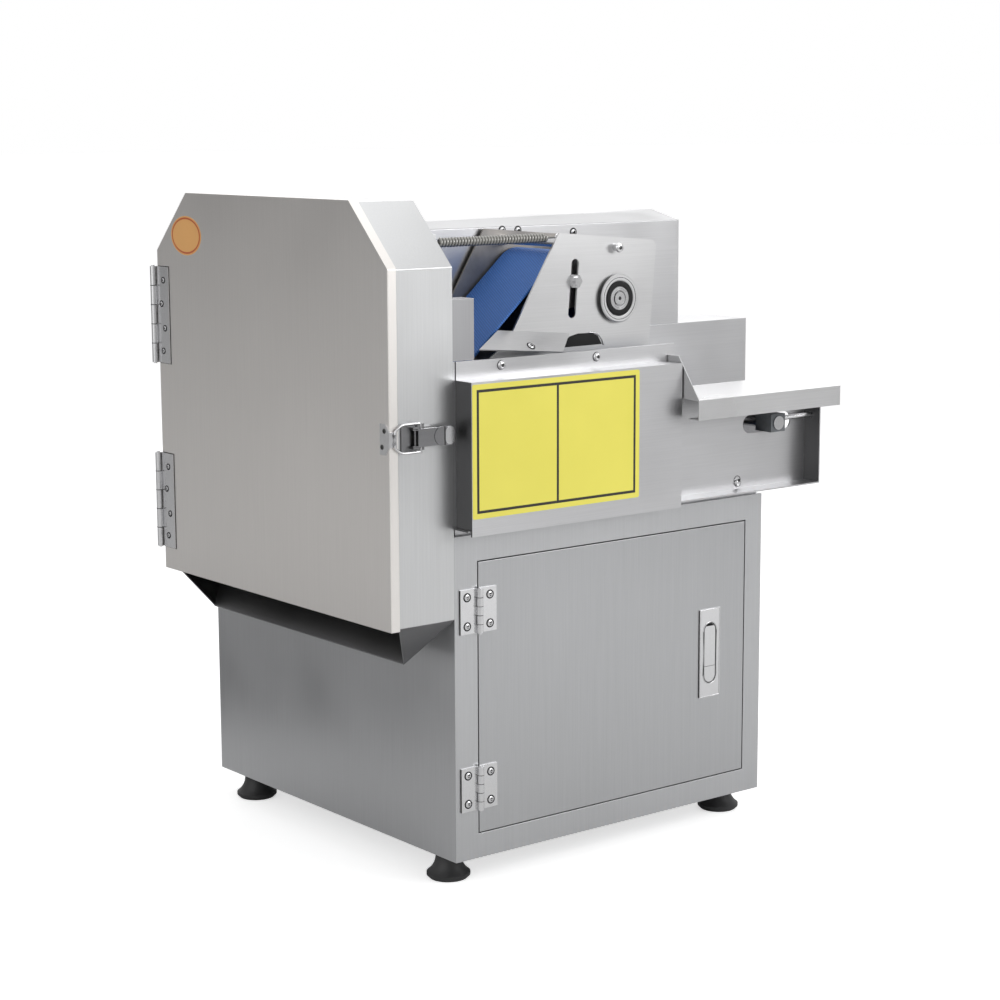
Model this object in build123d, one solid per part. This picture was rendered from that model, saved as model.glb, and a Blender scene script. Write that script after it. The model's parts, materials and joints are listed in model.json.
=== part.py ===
"""Belt-fed vegetable slicing machine.

A feed belt and a sprung press belt carry leaf and root vegetables through a mouth
into an eight-sided head, where two blades on a rotor slice them. The slices fall
through a chute in front of the cabinet's left wall. The knife motor is in the cabinet.

Millimetres. X runs along the front from the cutting head to the feed end, Y runs
from the front to the back, Z is up. Pieces are laid out from the cabinet's front
left corner at floor level. write_pieces() then moves them so that the origin is on
the floor under the middle of the whole machine.
"""
from build123d import *
import os
from math import cos, radians, sin

# Cabinet
cab_w = 560.0            # width along the front
cab_d = 595.0            # depth
cab_h = 442.0            # height of the cabinet alone
cab_wall = 2.0
foot_h = 38.0            # floor to cabinet
foot_r = 30.0            # widest part of the rubber foot
foot_inset_x = 28.0
foot_inset_y = 55.0
stud_r = 5.0             # M10
bed_t = 10.0             # bed plate on top of the cabinet
bed_inset = 6.0

# Cabinet door
stile_left = 38.0
stile_right = 32.0
rail_top = 36.0
rail_bottom = 34.0
door_gap = 1.5
door_t = 18.0            # depth of the door pan
door_skin = 1.5

# Cutting head
head_len = 89.0          # housing, from its right wall to the edge that the door covers
head_d = 565.0
head_z0 = 370.0
head_h = 543.0
head_chamfer = 82.0
head_wall = 2.0
head_door_t = 14.0       # depth of the head door pan
head_door_gap = 0.5
head_door_lap = 3.0      # how far the door stands past the housing all round
chute_drop = 61.0
chute_lip_x = 50.0       # lip, measured out from the cabinet's wall
chute_taper = 45.0       # how far each end of the lip is drawn in

# Feeder
feed_len = 647.0         # length of the feeder's side plates
feed_plate_t = 2.0
feed_plate_h = 219.0     # front plate beside the press conveyor
feed_low_h = 147.5       # front plate beside the tray
feed_step_x = 386.0      # where the front plate steps down
feed_lip = 31.0          # how far the lip and end flange stand out
feed_rear_y = 163.0      # inner face of the rear plate
feed_rear_h = 126.0
belt_y0 = 42.0           # front edge of both belts
belt_w = 116.0
belt_t = 3.0
roller_r = 34.0
feed_roller_z = 583.0
feed_drive_x = 42.0
feed_tail_x = 575.0
shaft_r = 10.0
run_gap = 0.3            # a belt's clearance to its rollers
bore_gap = 0.05          # radial clearance of a running fit
slot_len = 96.0
slot_h = 26.0

# Press conveyor, measured from its pivot before it is tilted
press_x = 307.6
press_z = 773.6
press_tilt = 5.0
press_lift = 5.0         # how far the press conveyor can rise, degrees
press_y = 33.0           # outer face of the front side plate
press_t = 3.0
press_drive_r = 30.0
press_top_r = 37.4
press_nip_r = 25.0
press_top_at = (-78.3, 20.0)
press_nip_at = (-246.5, -137.9)
press_slot_w = 13.0
press_slot_z = (-30.0, 50.0)
bearing_r = 23.5         # 6204
bearing_t = 14.0

# Knife
knife_y = 282.5
knife_z = 640.0
knife_x = -7.0           # back face of the blades, close to the mouth's wall
blade_angle = 40.0
knife_r = 238.0
knife_shaft_r = 15.0
blade_t = 4.0
knife_pulley_r = 70.0
motor_pulley_r = 38.0
pulley_x = 112.0
pulley_w = 22.0
motor_z = 200.0
motor_r = 70.0
motor_len = 210.0

# Drive covers
cover_y = 170.0
cover_d = 270.0
cover_z1 = 716.0
cover_len = 690.0
cover_over_z = 620.0     # underside where the cover runs past the cabinet
upper_len = 549.0
upper_z1 = 869.0
upper_rise = 14.0
upper_slope_d = 60.0
upper_d = 92.0
cover_t = 1.5

# Guard over the feeder's front plate
guard_x0 = 4.0
guard_x1 = 370.0
guard_out = 34.0
guard_z0 = 484.0
guard_z1 = 685.0
guard_strip_h = 24.0
guard_t = 1.5

# Tray
tray_x0 = 371.5
tray_x1 = 650.0
tray_flare = 28.0
tray_out = 66.0
tray_z = 636.0
tray_rise = 5.0
tray_fascia = 28.0
tray_hem = 20.0
tray_t = 1.5

# Small hardware
leaf_t = 2.0
barrel_r = 4.5
pin_r = 2.4
clear = 0.3              # clearance between pieces that move past each other

# Derived levels
cab_top = foot_h + cab_h
bed_z1 = cab_top + bed_t
feed_z0 = bed_z1
open_x0, open_x1 = stile_left, cab_w - stile_right
open_z0, open_z1 = foot_h + rail_bottom, cab_top - rail_top
belt_y1 = belt_y0 + belt_w
belt_y_mid = belt_y0 + belt_w / 2
feed_belt_top = feed_roller_z + roller_r + run_gap + belt_t
pieces = {}


# Helpers
def block(x0, x1, y0, y1, z0, z1):
    """A box from its low and high limits."""
    return Pos((x0 + x1) / 2, (y0 + y1) / 2, (z0 + z1) / 2) * Box(x1 - x0, y1 - y0, z1 - z0)


def rod(axis, at, radius, lo, hi):
    """A cylinder along an axis, from lo to hi. at holds the other two coordinates."""
    turned = {"x": (0, 90, 0), "y": (-90, 0, 0), "z": (0, 0, 0)}[axis]
    mid = (lo + hi) / 2
    place = {"x": (mid, *at), "y": (at[0], mid, at[1]), "z": (*at, mid)}[axis]
    return Pos(*place) * Rot(*turned) * Cylinder(radius, hi - lo)


def front_plate(points, y0, y1):
    """A plate parallel to the front, from its (x, z) outline."""
    outline = Polyline(*[(x, y0, z) for x, z in points], close=True)
    return extrude(make_face(outline), y1 - y0, dir=(0, 1, 0))


def side_plate(points, x0, x1):
    """A plate parallel to the left side, from its (y, z) outline."""
    outline = Polyline(*[(x0, y, z) for y, z in points], close=True)
    return extrude(make_face(outline), x1 - x0, dir=(1, 0, 0))


def around(circles):
    """The tight outline round (across, up, radius) circles, as a flat face."""
    edges = [edge for a, b, r in circles for edge in (Pos(a, b) * Circle(r)).edges()]
    return make_hull(edges)


def loop_y(circles, y0, y1):
    """A solid across the belt's width around (x, z, radius) circles."""
    plane = Plane(origin=(0, y0, 0), x_dir=(1, 0, 0), z_dir=(0, -1, 0))
    return extrude(plane * around(circles), y1 - y0, dir=(0, 1, 0))


def loop_x(circles, x0, x1):
    """The same along X around (y, z, radius) circles."""
    plane = Plane(origin=(x0, 0, 0), x_dir=(0, 1, 0), z_dir=(1, 0, 0))
    return extrude(plane * around(circles), x1 - x0, dir=(1, 0, 0))


def grown(circles, amount):
    return [(a, b, r + amount) for a, b, r in circles]


def obround_y(x, z, length, height, y0, y1):
    """A slot cutter through a front plate, long along X."""
    reach = (length - height) / 2
    return loop_y([(x - reach, z, height / 2), (x + reach, z, height / 2)], y0, y1)


def tilted(shape, angle=press_tilt):
    """Turn a piece of the press conveyor about its pivot, nip end up."""
    return shape.rotate(Axis((press_x, 0, press_z), (0, 1, 0)), angle)


def save(name, *shapes):
    pieces[name] = [solid for shape in shapes for solid in shape.solids()]


def row_origin():
    """Floor level, under the middle of the machine's bounding box."""
    boxes = [solid.bounding_box() for solids in pieces.values() for solid in solids]
    x = (min(b.min.X for b in boxes) + max(b.max.X for b in boxes)) / 2
    y = (min(b.min.Y for b in boxes) + max(b.max.Y for b in boxes)) / 2
    return Vector(x, y, min(b.min.Z for b in boxes))


def write_pieces(origin):
    for name, solids in pieces.items():
        placed = [Pos(-origin.X, -origin.Y, -origin.Z) * solid for solid in solids]
        shape = placed[0] if len(placed) == 1 else Compound(children=placed)
        export_step(shape, f"parts/{name}.step")


# Cabinet
def foot_places():
    return [(x, y) for x in (foot_inset_x, cab_w - foot_inset_x)
            for y in (foot_inset_y, cab_d - foot_inset_y)]


def foot_rubber(x, y):
    neck_r = 17.5
    rim_z = 8.0
    profile = Polyline((stud_r, 0), (foot_r - 4, 0), (foot_r, 4), (foot_r, rim_z))
    flare = ThreePointArc((foot_r, rim_z), (neck_r + 4.0, rim_z + 9.0), (neck_r, foot_h - 6))
    top = Polyline((neck_r, foot_h - 6), (neck_r, foot_h), (stud_r, foot_h), (stud_r, 0))
    face = make_face(Plane.XZ * (profile + flare + top))
    body = revolve(face, Axis.Z)
    return Pos(x, y, 0) * body


def foot_stud(x, y):
    nut_z = foot_h + cab_wall
    shank = rod("z", (x, y), stud_r, 12.0, nut_z + 18)
    nut = Pos(x, y, nut_z) * extrude(RegularPolygon(9.8, 6), 8)
    return shank + nut


def cabinet_body():
    shell = block(0, cab_w, 0, cab_d, foot_h, cab_top)
    shell -= block(cab_wall, cab_w - cab_wall, cab_wall, cab_d - cab_wall,
                   foot_h + cab_wall, cab_top - cab_wall)
    jamb_d = door_t + 6
    shell += block(open_x0 - cab_wall, open_x1 + cab_wall, cab_wall, jamb_d,
                   open_z0 - cab_wall, open_z1 + cab_wall)
    shell -= block(open_x0, open_x1, -1, jamb_d + 1, open_z0, open_z1)
    for x, y in foot_places():
        shell -= rod("z", (x, y), stud_r, foot_h - 1, foot_h + cab_wall + 1)
    shell -= belt_slot(cab_top - cab_wall - 1, cab_top + 1)
    for row in range(6):
        shell -= block(cab_w / 2 - 60, cab_w / 2 + 60, cab_d - cab_wall - 1, cab_d + 1,
                       120 + row * 16, 126 + row * 16)
    shell -= rod("y", (gland_x, gland_z), gland_r, cab_d - cab_wall - 1, cab_d + 1)
    return shell - tongue_way(open_x1 - 1, open_x1 + cab_wall + 1)


def belt_slot(z0, z1):
    """The knife belt's way through the cabinet top and the bed plate."""
    half = knife_pulley_r + 14
    return block(pulley_x - 8, pulley_x + pulley_w + 8, knife_y - half, knife_y + half, z0, z1)


def bed_plate():
    plate = block(bed_inset, cab_w - bed_inset, bed_inset, cab_d - bed_inset, cab_top, bed_z1)
    return plate - belt_slot(cab_top - 1, bed_z1 + 1)


def cabinet_door():
    x0, x1 = open_x0 + door_gap, open_x1 - door_gap
    z0, z1 = open_z0 + door_gap, open_z1 - door_gap
    pan = block(x0, x1, 0, door_t, z0, z1)
    pan -= block(x0 + door_skin, x1 - door_skin, door_skin, door_t + 1,
                 z0 + door_skin, z1 - door_skin)
    pan -= lock_housing(-1, door_skin + 1)
    return pan - tongue_way(x1 - door_skin - 1, x1 + 1)


# Lock in the cabinet door
lock_x = 458.5
lock_z = 258.0
lock_w = 40.0
lock_h = 130.0
lock_t = 1.5
lock_slot_w = 22.0
lock_slot_h = 87.0
lock_depth = 15.0
button_h = 24.0


def lock_housing(y0, y1):
    return block(lock_x - 13, lock_x + 13, y0, y1, lock_z - 46, lock_z + 46)


def lock_recess(y0, y1, shrink=0.0):
    reach = (lock_slot_h - lock_slot_w) / 2
    r = lock_slot_w / 2 - shrink
    return loop_y([(lock_x, lock_z - reach, r), (lock_x, lock_z + reach, r)], y0, y1)


def lock_plate():
    face = block(lock_x - lock_w / 2, lock_x + lock_w / 2, -lock_t, 0,
                 lock_z - lock_h / 2, lock_z + lock_h / 2)
    guide = block(lock_x + 13, lock_x + 25, tongue_y[0] - 2, tongue_y[1] + 2,
                  lock_z - tongue_h / 2 - 2, lock_z + tongue_h / 2 + 2)
    body = face + lock_housing(0, lock_depth) + guide
    body -= tongue_way(lock_x + 13, lock_x + 26)
    half = lock_slot_w / 2
    pin = rod("x", (handle_pivot_y, handle_pivot_z), 1.5, lock_x - half, lock_x + half)
    return body - lock_recess(-lock_t - 1, lock_depth - 2) + pin


handle_split = lock_z - lock_slot_h / 2 + button_h
handle_pivot_z = lock_z + lock_slot_h / 2 - 8
handle_t = 4.0
handle_pivot_y = handle_t / 2 - lock_t
tongue_h = 16.0
tongue_y = (5.0, 11.0)
tongue_throw = 8.0


def tongue_way(x0, x1):
    """The slot that the lock's tongue slides through."""
    return block(x0, x1, tongue_y[0] - clear, tongue_y[1] + clear,
                 lock_z - tongue_h / 2 - clear, lock_z + tongue_h / 2 + clear)


def lock_handle():
    upper = block(lock_x - lock_w, lock_x + lock_w, -9, 9, handle_split + clear,
                  handle_pivot_z + handle_t)
    plate = lock_recess(-lock_t, -lock_t + handle_t, 0.6) & upper
    return plate - rod("x", (handle_pivot_y, handle_pivot_z), 1.5 + bore_gap,
                       lock_x - lock_slot_w, lock_x + lock_slot_w)


def lock_button():
    lower = block(lock_x - lock_w, lock_x + lock_w, -9, 20, lock_z - lock_h, handle_split - clear)
    return lock_recess(-lock_t, 6, 0.6) & lower


def lock_tongue():
    x1 = open_x1 - door_gap - door_skin - 1
    return block(lock_x + 13 + clear, x1, *tongue_y, lock_z - tongue_h / 2, lock_z + tongue_h / 2)


# Hinges: a barrel in five knuckles, with the leaves on opposite sides
def rows(z0, z1, first):
    """The heights of every second knuckle of a barrel with five."""
    pitch = (z1 - z0) / 5
    return [(z0 + i * pitch + (clear if i else 0), z0 + (i + 1) * pitch)
            for i in range(first, 5, 2)]


def knuckle_set(at, z0, z1, first, leaf, reach):
    """A leaf with its knuckles, cleared by reach round the other leaf's knuckles."""
    x, y = at
    for lo, hi in rows(z0, z1, 1 - first):
        leaf -= block(x - reach, x + reach, y - reach, y + reach, lo - clear, hi + clear)
    for lo, hi in rows(z0, z1, first):
        leaf += rod("z", at, barrel_r, lo, hi)
    return leaf - rod("z", at, pin_r + bore_gap, z0 - 1, z1 + 1)


def hinge_pin(at, z0, z1):
    return rod("z", at, pin_r, z0 - 1.5, z1 + 1.5)


door_pin = (stile_left + 0.4, -barrel_r)
door_hinge_h = 60.0
door_hinge_z = (136.0, 378.0)
door_leaf_w = 30.0


def door_hinge_fixed(z):
    lo, hi = z - door_hinge_h / 2, z + door_hinge_h / 2
    leaf = block(door_pin[0] - door_leaf_w, door_pin[0], -leaf_t, 0, lo, hi)
    return knuckle_set(door_pin, lo, hi, 0, leaf, barrel_r + clear)


def door_hinge_moving(z):
    lo, hi = z - door_hinge_h / 2, z + door_hinge_h / 2
    leaf = block(door_pin[0], door_pin[0] + door_leaf_w, -leaf_t, 0, lo, hi)
    return knuckle_set(door_pin, lo, hi, 1, leaf, barrel_r + clear)


head_door_x0 = -(head_len + head_door_gap + head_door_t)
head_door_y1 = head_d + head_door_lap
head_pin = (head_door_x0 - barrel_r, head_door_y1 + barrel_r)
head_hinge_h = 139.0
head_hinge_z = (469.0, 740.0)
head_leaf_w = 37.0


def head_hinge_fixed(z):
    lo, hi = z - head_hinge_h / 2, z + head_hinge_h / 2
    x0, x1 = -(head_len - 4), -(head_len - 36)
    y0, y1 = head_door_y1 + clear, head_door_y1 + clear + leaf_t
    leaf = block(head_pin[0], x1, y0, y1, lo, hi) + block(x0, x1, head_d, y1, lo, hi)
    return knuckle_set(head_pin, lo, hi, 0, leaf, barrel_r + clear + leaf_t)


def head_hinge_moving(z):
    lo, hi = z - head_hinge_h / 2, z + head_hinge_h / 2
    leaf = block(head_door_x0 - leaf_t, head_door_x0, head_pin[1] - head_leaf_w, head_pin[1],
                 lo, hi)
    return knuckle_set(head_pin, lo, hi, 1, leaf, barrel_r + clear + leaf_t)


# Cutting head
def eight_sided(grow=0.0):
    """The head's outline in (y, z), with chamfered top corners."""
    y0, y1 = -grow, head_d + grow
    z0, z1 = head_z0 - grow, head_z0 + head_h + grow
    c = head_chamfer + grow * (2 - 2 ** 0.5)
    return [(y0, z0), (y1, z0), (y1, z1 - c), (y1 - c, z1), (y0 + c, z1), (y0, z1 - c)]


mouth_y0 = 38.0
mouth_y1 = 166.0
mouth_z0 = 619.0
mouth_z1 = 700.0


def head_housing():
    outer = side_plate(eight_sided(), -head_len, 0)
    inner = side_plate(eight_sided(-head_wall), -head_len - 1, -head_wall)
    rim = side_plate(eight_sided(), -head_len, -head_len + head_wall)
    rim -= side_plate(eight_sided(-14.0), -head_len - 1, -head_len + head_wall + 1)
    shell = outer - inner + rim
    shell -= block(-head_len + head_wall, -head_wall, head_wall + 8, head_d - head_wall - 8,
                   head_z0 - 1, head_z0 + head_wall + 14)
    shell -= block(-head_len - 1, -head_wall, head_wall + 12, head_d - head_wall - 12,
                   head_z0 - 1, head_z0 + 14)
    shell -= block(-head_wall - 1, 1, mouth_y0, mouth_y1, mouth_z0, mouth_z1)
    shell -= rod("x", (knife_y, knife_z), knife_shaft_r + 5, -head_wall - 1, 1)
    return shell


def head_door():
    x0 = head_door_x0
    pan = side_plate(eight_sided(head_door_lap), x0, x0 + head_door_t)
    pan -= side_plate(eight_sided(head_door_lap - head_wall), x0 + head_wall,
                      x0 + head_door_t + 1)
    return pan


def discharge_chute():
    x_out = -(head_len + head_door_gap)
    z0, z1 = head_z0 - chute_drop, head_z0
    corners = {
        "near": (x_out, 0, z1), "far": (x_out, head_d, z1),
        "wall_near": (0, 0, z1), "wall_far": (0, head_d, z1),
        "lip_near": (-chute_lip_x, chute_taper, z0),
        "lip_far": (-chute_lip_x, head_d - chute_taper, z0),
    }
    panels = [("wall_near", "wall_far", "lip_far", "lip_near"),
              ("near", "wall_near", "lip_near"), ("wall_far", "far", "lip_far")]
    centre = Vector(-head_len / 2, head_d / 2, z1)
    chute = None
    for names in panels:
        face = make_face(Polyline(*[corners[n] for n in names], close=True)).face()
        inward = centre - face.center()
        normal = face.normal_at()
        normal = normal if normal.dot(inward) > 0 else -normal
        panel = extrude(face, head_wall, dir=normal)
        chute = panel if chute is None else chute + panel
    below = block(-2 * head_len, head_len, -head_d, 2 * head_d, 0, z1)
    chute = chute & below
    return chute - block(0, head_len, -head_d, 2 * head_d, 0, cab_top)


throat_t = 8.0


def throat_frame():
    """The counter blade and the frame round the mouth."""
    frame = block(0, throat_t, mouth_y0 - 12, mouth_y1 + 3, mouth_z0 - 24, mouth_z1 + 6)
    frame -= block(-1, throat_t + 1, mouth_y0 + 3, mouth_y1 - 6, mouth_z0, mouth_z1 - 6)
    frame -= rod("y", (feed_drive_x, feed_roller_z), feed_drive_x - 4, 0, feed_rear_y + 20)
    return frame


def mouth_block():
    x1 = 38.0
    z0, z1 = feed_z0 + feed_plate_h, feed_z0 + feed_plate_h + 80
    box = block(0, x1, 4, press_y - 2, z0, z1)
    return box - block(-1, x1 - 1.5, 5.5, press_y - 1, z0 - 1, z1 - 1.5)


# Toggle latch on the head's front wall
latch_z = 617.0
latch_pivot = (-66.0, -7.0)
bail_pivot = (-57.0, -7.0)
latch_pin_r = 1.5


def latch_base():
    base = block(-84, -48, -2, 0, latch_z - 17, latch_z + 17)
    for side in (-1, 1):
        z = latch_z + side * 13
        ear = block(-71, -61, -10, -2, z - 1, z + 1)
        base += ear
    pin = rod("z", latch_pivot, latch_pin_r, latch_z - 14, latch_z + 14)
    return base + pin


def latch_lever():
    px, py = latch_pivot
    lever = block(px + 2, px + 40, py - 4.5, py - 3, latch_z - 11.5, latch_z + 11.5)
    cheek = around([(px, py, 4.4), (px + 32, py - 2.2, 2)])
    for z in (latch_z - 11.5, latch_z + 10):
        lever += Pos(0, 0, z) * extrude(cheek, 1.5)
    lever += loop_y([(px + 50, latch_z - 4, 9), (px + 50, latch_z + 4, 9),
                     (px + 40, latch_z, 12.5)], py - 5.5, py - 3.5)
    for at in (latch_pivot, bail_pivot):
        lever -= rod("z", at, latch_pin_r + bore_gap, latch_z - 15, latch_z + 15)
    return lever


def latch_bail():
    wide, narrow = 20.0, 12.0
    outer = [(-55, latch_z - wide), (-55, latch_z + wide), (-88, latch_z + wide),
             (-98.5, latch_z + narrow), (-98.5, latch_z - narrow), (-88, latch_z - wide)]
    w = 3.5
    inner = [(-50, latch_z - wide + w), (-50, latch_z + wide - w), (-87, latch_z + wide - w),
             (-98.5 + w, latch_z + narrow - 2), (-98.5 + w, latch_z - narrow + 2),
             (-87, latch_z - wide + w)]
    ring = front_plate(outer, -7.7, -4.5) - front_plate(inner, -9, -3)
    return ring + rod("z", bail_pivot, latch_pin_r, latch_z - wide + 1, latch_z + wide - 1)


def latch_strike():
    x0 = head_door_x0
    plate = side_plate([(16, latch_z - 20), (16, latch_z + 20), (4, latch_z + 20),
                        (-head_door_lap - 1.5, latch_z + 10), (-head_door_lap - 1.5, latch_z - 10),
                        (4, latch_z - 20)], x0 - 1.5, x0)
    wrap = block(x0 - 1.5, x0 + 11, -head_door_lap - 1.2, -head_door_lap,
                 latch_z - 10, latch_z + 10)
    return plate + wrap


# Feeder
def feeder_front_plate():
    z_low = feed_z0 + feed_low_h
    z_high = feed_z0 + feed_plate_h
    plate = front_plate([(0, feed_z0), (feed_len, feed_z0), (feed_len, z_low),
                         (feed_step_x, z_low), (feed_step_x, z_high), (0, z_high)],
                        0, feed_plate_t)
    lip = block(0, feed_len, -feed_lip, 0, feed_z0, feed_z0 + feed_plate_t)
    end_z1 = tray_z - tray_fascia - 6
    end = block(feed_len - feed_plate_t, feed_len, -feed_lip, 0, feed_z0, end_z1)
    plate = plate + lip + end
    plate -= obround_y(take_up_x, feed_roller_z, slot_len, slot_h, -1, feed_plate_t + 1)
    plate -= rod("x", take_up_rod_at, take_up_rod_r + 0.5, feed_len - 5, feed_len + 5)
    plate -= rod("y", (feed_drive_x, feed_roller_z), shaft_r + 6, -1, feed_plate_t + 1)
    for x, z in screw_places():
        plate -= rod("y", (x, z), screw_r, -1, feed_plate_t + 1)
    return plate


def feeder_rear_plate():
    plate = block(throat_t, feed_len, feed_rear_y, feed_rear_y + feed_plate_t, feed_z0,
                  feed_z0 + feed_rear_h)
    plate -= obround_y(take_up_x, feed_roller_z, slot_len, slot_h, feed_rear_y - 1,
                       feed_rear_y + feed_plate_t + 1)
    plate -= rod("y", (feed_drive_x, feed_roller_z), shaft_r + 6, feed_rear_y - 1,
                 feed_rear_y + feed_plate_t + 1)
    return plate


take_up_x = feed_tail_x - 7
take_up_rod_at = (-12.0, feed_roller_z + 6)
take_up_rod_r = 3.5


def belt_bed():
    """The slide plate under the belt's top run."""
    z1 = feed_belt_top - belt_t - 0.3
    x0, x1 = feed_drive_x + roller_r + 12, feed_tail_x - roller_r - 12
    plate = block(x0, x1, feed_plate_t, feed_rear_y, z1 - 2, z1)
    rib = block(x0, x0 + 2, feed_plate_t, feed_rear_y, z1 - 22, z1)
    return plate + rib + Pos(x1 - x0 - 2, 0, 0) * rib


def feed_circles():
    return [(feed_drive_x, feed_roller_z, roller_r + run_gap),
            (feed_tail_x, feed_roller_z, roller_r + run_gap)]


def feed_belt():
    return loop_y(grown(feed_circles(), belt_t), belt_y0, belt_y1) \
        - loop_y(feed_circles(), belt_y0 - 1, belt_y1 + 1)


def bearing_ring(x, z, y0, y1, inner):
    return rod("y", (x, z), inner + 6, y0, y1) - rod("y", (x, z), inner + bore_gap, y0 - 1, y1 + 1)


def feed_bearings():
    """Flange bearings at the mouth end and take-up blocks at the tail end."""
    parts = [bearing_ring(feed_drive_x, feed_roller_z, -2, feed_plate_t + 10, shaft_r),
             bearing_ring(feed_drive_x, feed_roller_z, feed_rear_y - 2, feed_rear_y + 7, shaft_r)]
    for y0, y1 in ((-16, feed_plate_t + 14), (feed_rear_y - 2, feed_rear_y + 5)):
        half = slot_h / 2 - 0.2
        blk = block(feed_tail_x - 14, feed_tail_x + 14, y0, y1,
                    feed_roller_z - half, feed_roller_z + half)
        parts.append(blk - rod("y", (feed_tail_x, feed_roller_z), shaft_r + bore_gap,
                               y0 - 1, y1 + 1))
    return parts


def feed_roller(x, y_front, y_back):
    drum = rod("y", (x, feed_roller_z), roller_r, belt_y0, belt_y1)
    return drum + rod("y", (x, feed_roller_z), shaft_r, y_front, y_back)


def feed_drive_roller():
    roller = feed_roller(feed_drive_x, -2, feed_chain_y + chain_w + 2)
    return roller + sprocket(feed_drive_x, feed_roller_z, feed_sprocket_r, feed_chain_y)


def take_up_screw():
    y, z = take_up_rod_at
    screw = rod("x", (y, z), take_up_rod_r, feed_tail_x + 14, feed_len + 8)
    nut = Pos(feed_len, y, z) * Rot(0, 90, 0) * extrude(RegularPolygon(7, 6), 5)
    return screw + nut


def feed_tray():
    y_back = belt_y0 - 4
    z_back = tray_z + tray_rise
    run = (y_back + tray_out)
    slope = tray_rise / run
    top = [(-tray_out, tray_z - tray_t), (-tray_out, tray_z), (y_back, z_back),
           (y_back, z_back - tray_t)]
    sheet = side_plate(top, tray_x0, tray_x1 + tray_flare)
    cut = extrude(make_face(Polyline((tray_x1, -tray_out - 1, tray_z - 20),
                                     (tray_x1 + tray_flare + 1, y_back + 3, tray_z - 20),
                                     (tray_x1 + tray_flare + 1, -tray_out - 1, tray_z - 20),
                                     close=True)), 60, dir=(0, 0, 1))
    sheet -= cut
    sheet -= block(tray_x0 - 1, feed_step_x + clear, -clear, y_back + 1, tray_z - 20, tray_z + 20)
    fascia = block(tray_x0, tray_x1, -tray_out, -tray_out + tray_t,
                   tray_z - tray_fascia, tray_z)
    hem = block(tray_x0, tray_x1, -tray_out, -tray_out + tray_hem,
                tray_z - tray_fascia, tray_z - tray_fascia + tray_t)
    back = block(feed_step_x + clear, tray_x1 + tray_flare - 3, y_back - tray_t, y_back,
                 tray_z - 12, z_back - tray_t)
    gusset_top = guard_z1 + 9
    gusset = side_plate([(-tray_out, tray_z), (-tray_out + 42, gusset_top), (-0.2, gusset_top),
                         (-0.2, tray_z)], tray_x0, tray_x0 + tray_t)
    return sheet + fascia + hem + back + gusset


def guard_cover():
    z_strip = guard_z1 + guard_strip_h
    strip = block(guard_x0, guard_x1, -guard_t, 0, guard_z1 - guard_t, z_strip)
    top = block(guard_x0, guard_x1, -guard_out, 0, guard_z1 - guard_t, guard_z1)
    face = block(guard_x0, guard_x1, -guard_out, -guard_out + guard_t, guard_z0, guard_z1)
    left = block(guard_x0, guard_x0 + guard_t, -guard_out, 0, guard_z0, guard_z1)
    right = block(guard_x1 - guard_t, guard_x1, -guard_out, 0, guard_z0, guard_z1)
    cover = strip + top + face + left + right
    for x, z in screw_places()[:2]:
        cover -= rod("y", (x, z), screw_r, -guard_t - 1, 1)
    return cover - block(guard_x0 - 1, guard_x1 + 1, -feed_lip - clear, 1, guard_z0 - 1,
                         feed_z0 + feed_plate_t + clear)


screw_r = 2.5


def screw_places():
    """The round-head screws of the front plate: two hold the guard, one is by the lip."""
    z = guard_z1 + guard_strip_h - 9
    return [(78.0, z), (242.0, z), (510.0, feed_z0 + 10)]


def dome_screw(x, y, z, radius, height, shank):
    """A round-head screw standing out of a front face at y."""
    head = rod("y", (x, z), radius, y - height, y)
    rim = head.edges().filter_by(GeomType.CIRCLE).sort_by(Axis.Y)[0]
    return fillet(rim, height * 0.85) + rod("y", (x, z), screw_r, y, y + shank)


def front_screws():
    screws = []
    for i, (x, z) in enumerate(screw_places()):
        y = -guard_t if i < 2 else 0
        screws.append(dome_screw(x, y, z, 6.0, 4.0, feed_plate_t + 3 - y))
    return screws


# Covers
def lower_drive_cover():
    y0, y1 = cover_y, cover_y + cover_d
    outline = [(0, feed_z0), (cab_w - bed_inset, feed_z0), (cab_w - bed_inset, cover_over_z),
               (cover_len, cover_over_z), (cover_len, cover_z1), (0, cover_z1)]
    t = cover_t
    inner = [(-1, feed_z0 - 1), (cab_w - bed_inset - t, feed_z0 - 1),
             (cab_w - bed_inset - t, cover_over_z + t), (cover_len - t, cover_over_z + t),
             (cover_len - t, cover_z1 - t), (-1, cover_z1 - t)]
    cover = front_plate(outline, y0, y1) - front_plate(inner, y0 + t, y1 - t)
    cover -= rod("y", (feed_drive_x, feed_roller_z), shaft_r + 8, y0 - 1, y0 + t + 1)
    cover -= block(180, upper_len - 30, y0 + 2, y0 + upper_d - 12, cover_z1 - t - 1,
                   cover_z1 + 1)
    return cover


def upper_profile(x, rise, inset=0.0):
    y0, y1 = cover_y + inset, cover_y + upper_d - inset
    pts = [(x, y0, cover_z1), (x, y0, upper_z1 - inset),
           (x, cover_y + upper_slope_d, upper_z1 + rise - inset), (x, y1, upper_z1 + rise - inset),
           (x, y1, cover_z1)]
    return make_face(Polyline(*pts, close=True))


def upper_drive_cover():
    outer = loft([upper_profile(0, upper_rise * 0.4).face(),
                  upper_profile(upper_len, upper_rise).face()])
    t = cover_t
    inner = loft([upper_profile(-t, upper_rise * 0.4, t).face(),
                  upper_profile(upper_len - t, upper_rise, t).face()])
    inner += Pos(0, 0, -2) * block(0, upper_len - t, cover_y + t, cover_y + upper_d - t,
                                   cover_z1, cover_z1 + 20)
    cover = outer - inner
    return cover - rod("y", (press_x, press_z), shaft_r + 4, cover_y - 1, cover_y + t + 1)


# Press conveyor
def at_press(dx, dz):
    return press_x + dx, press_z + dz


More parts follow.
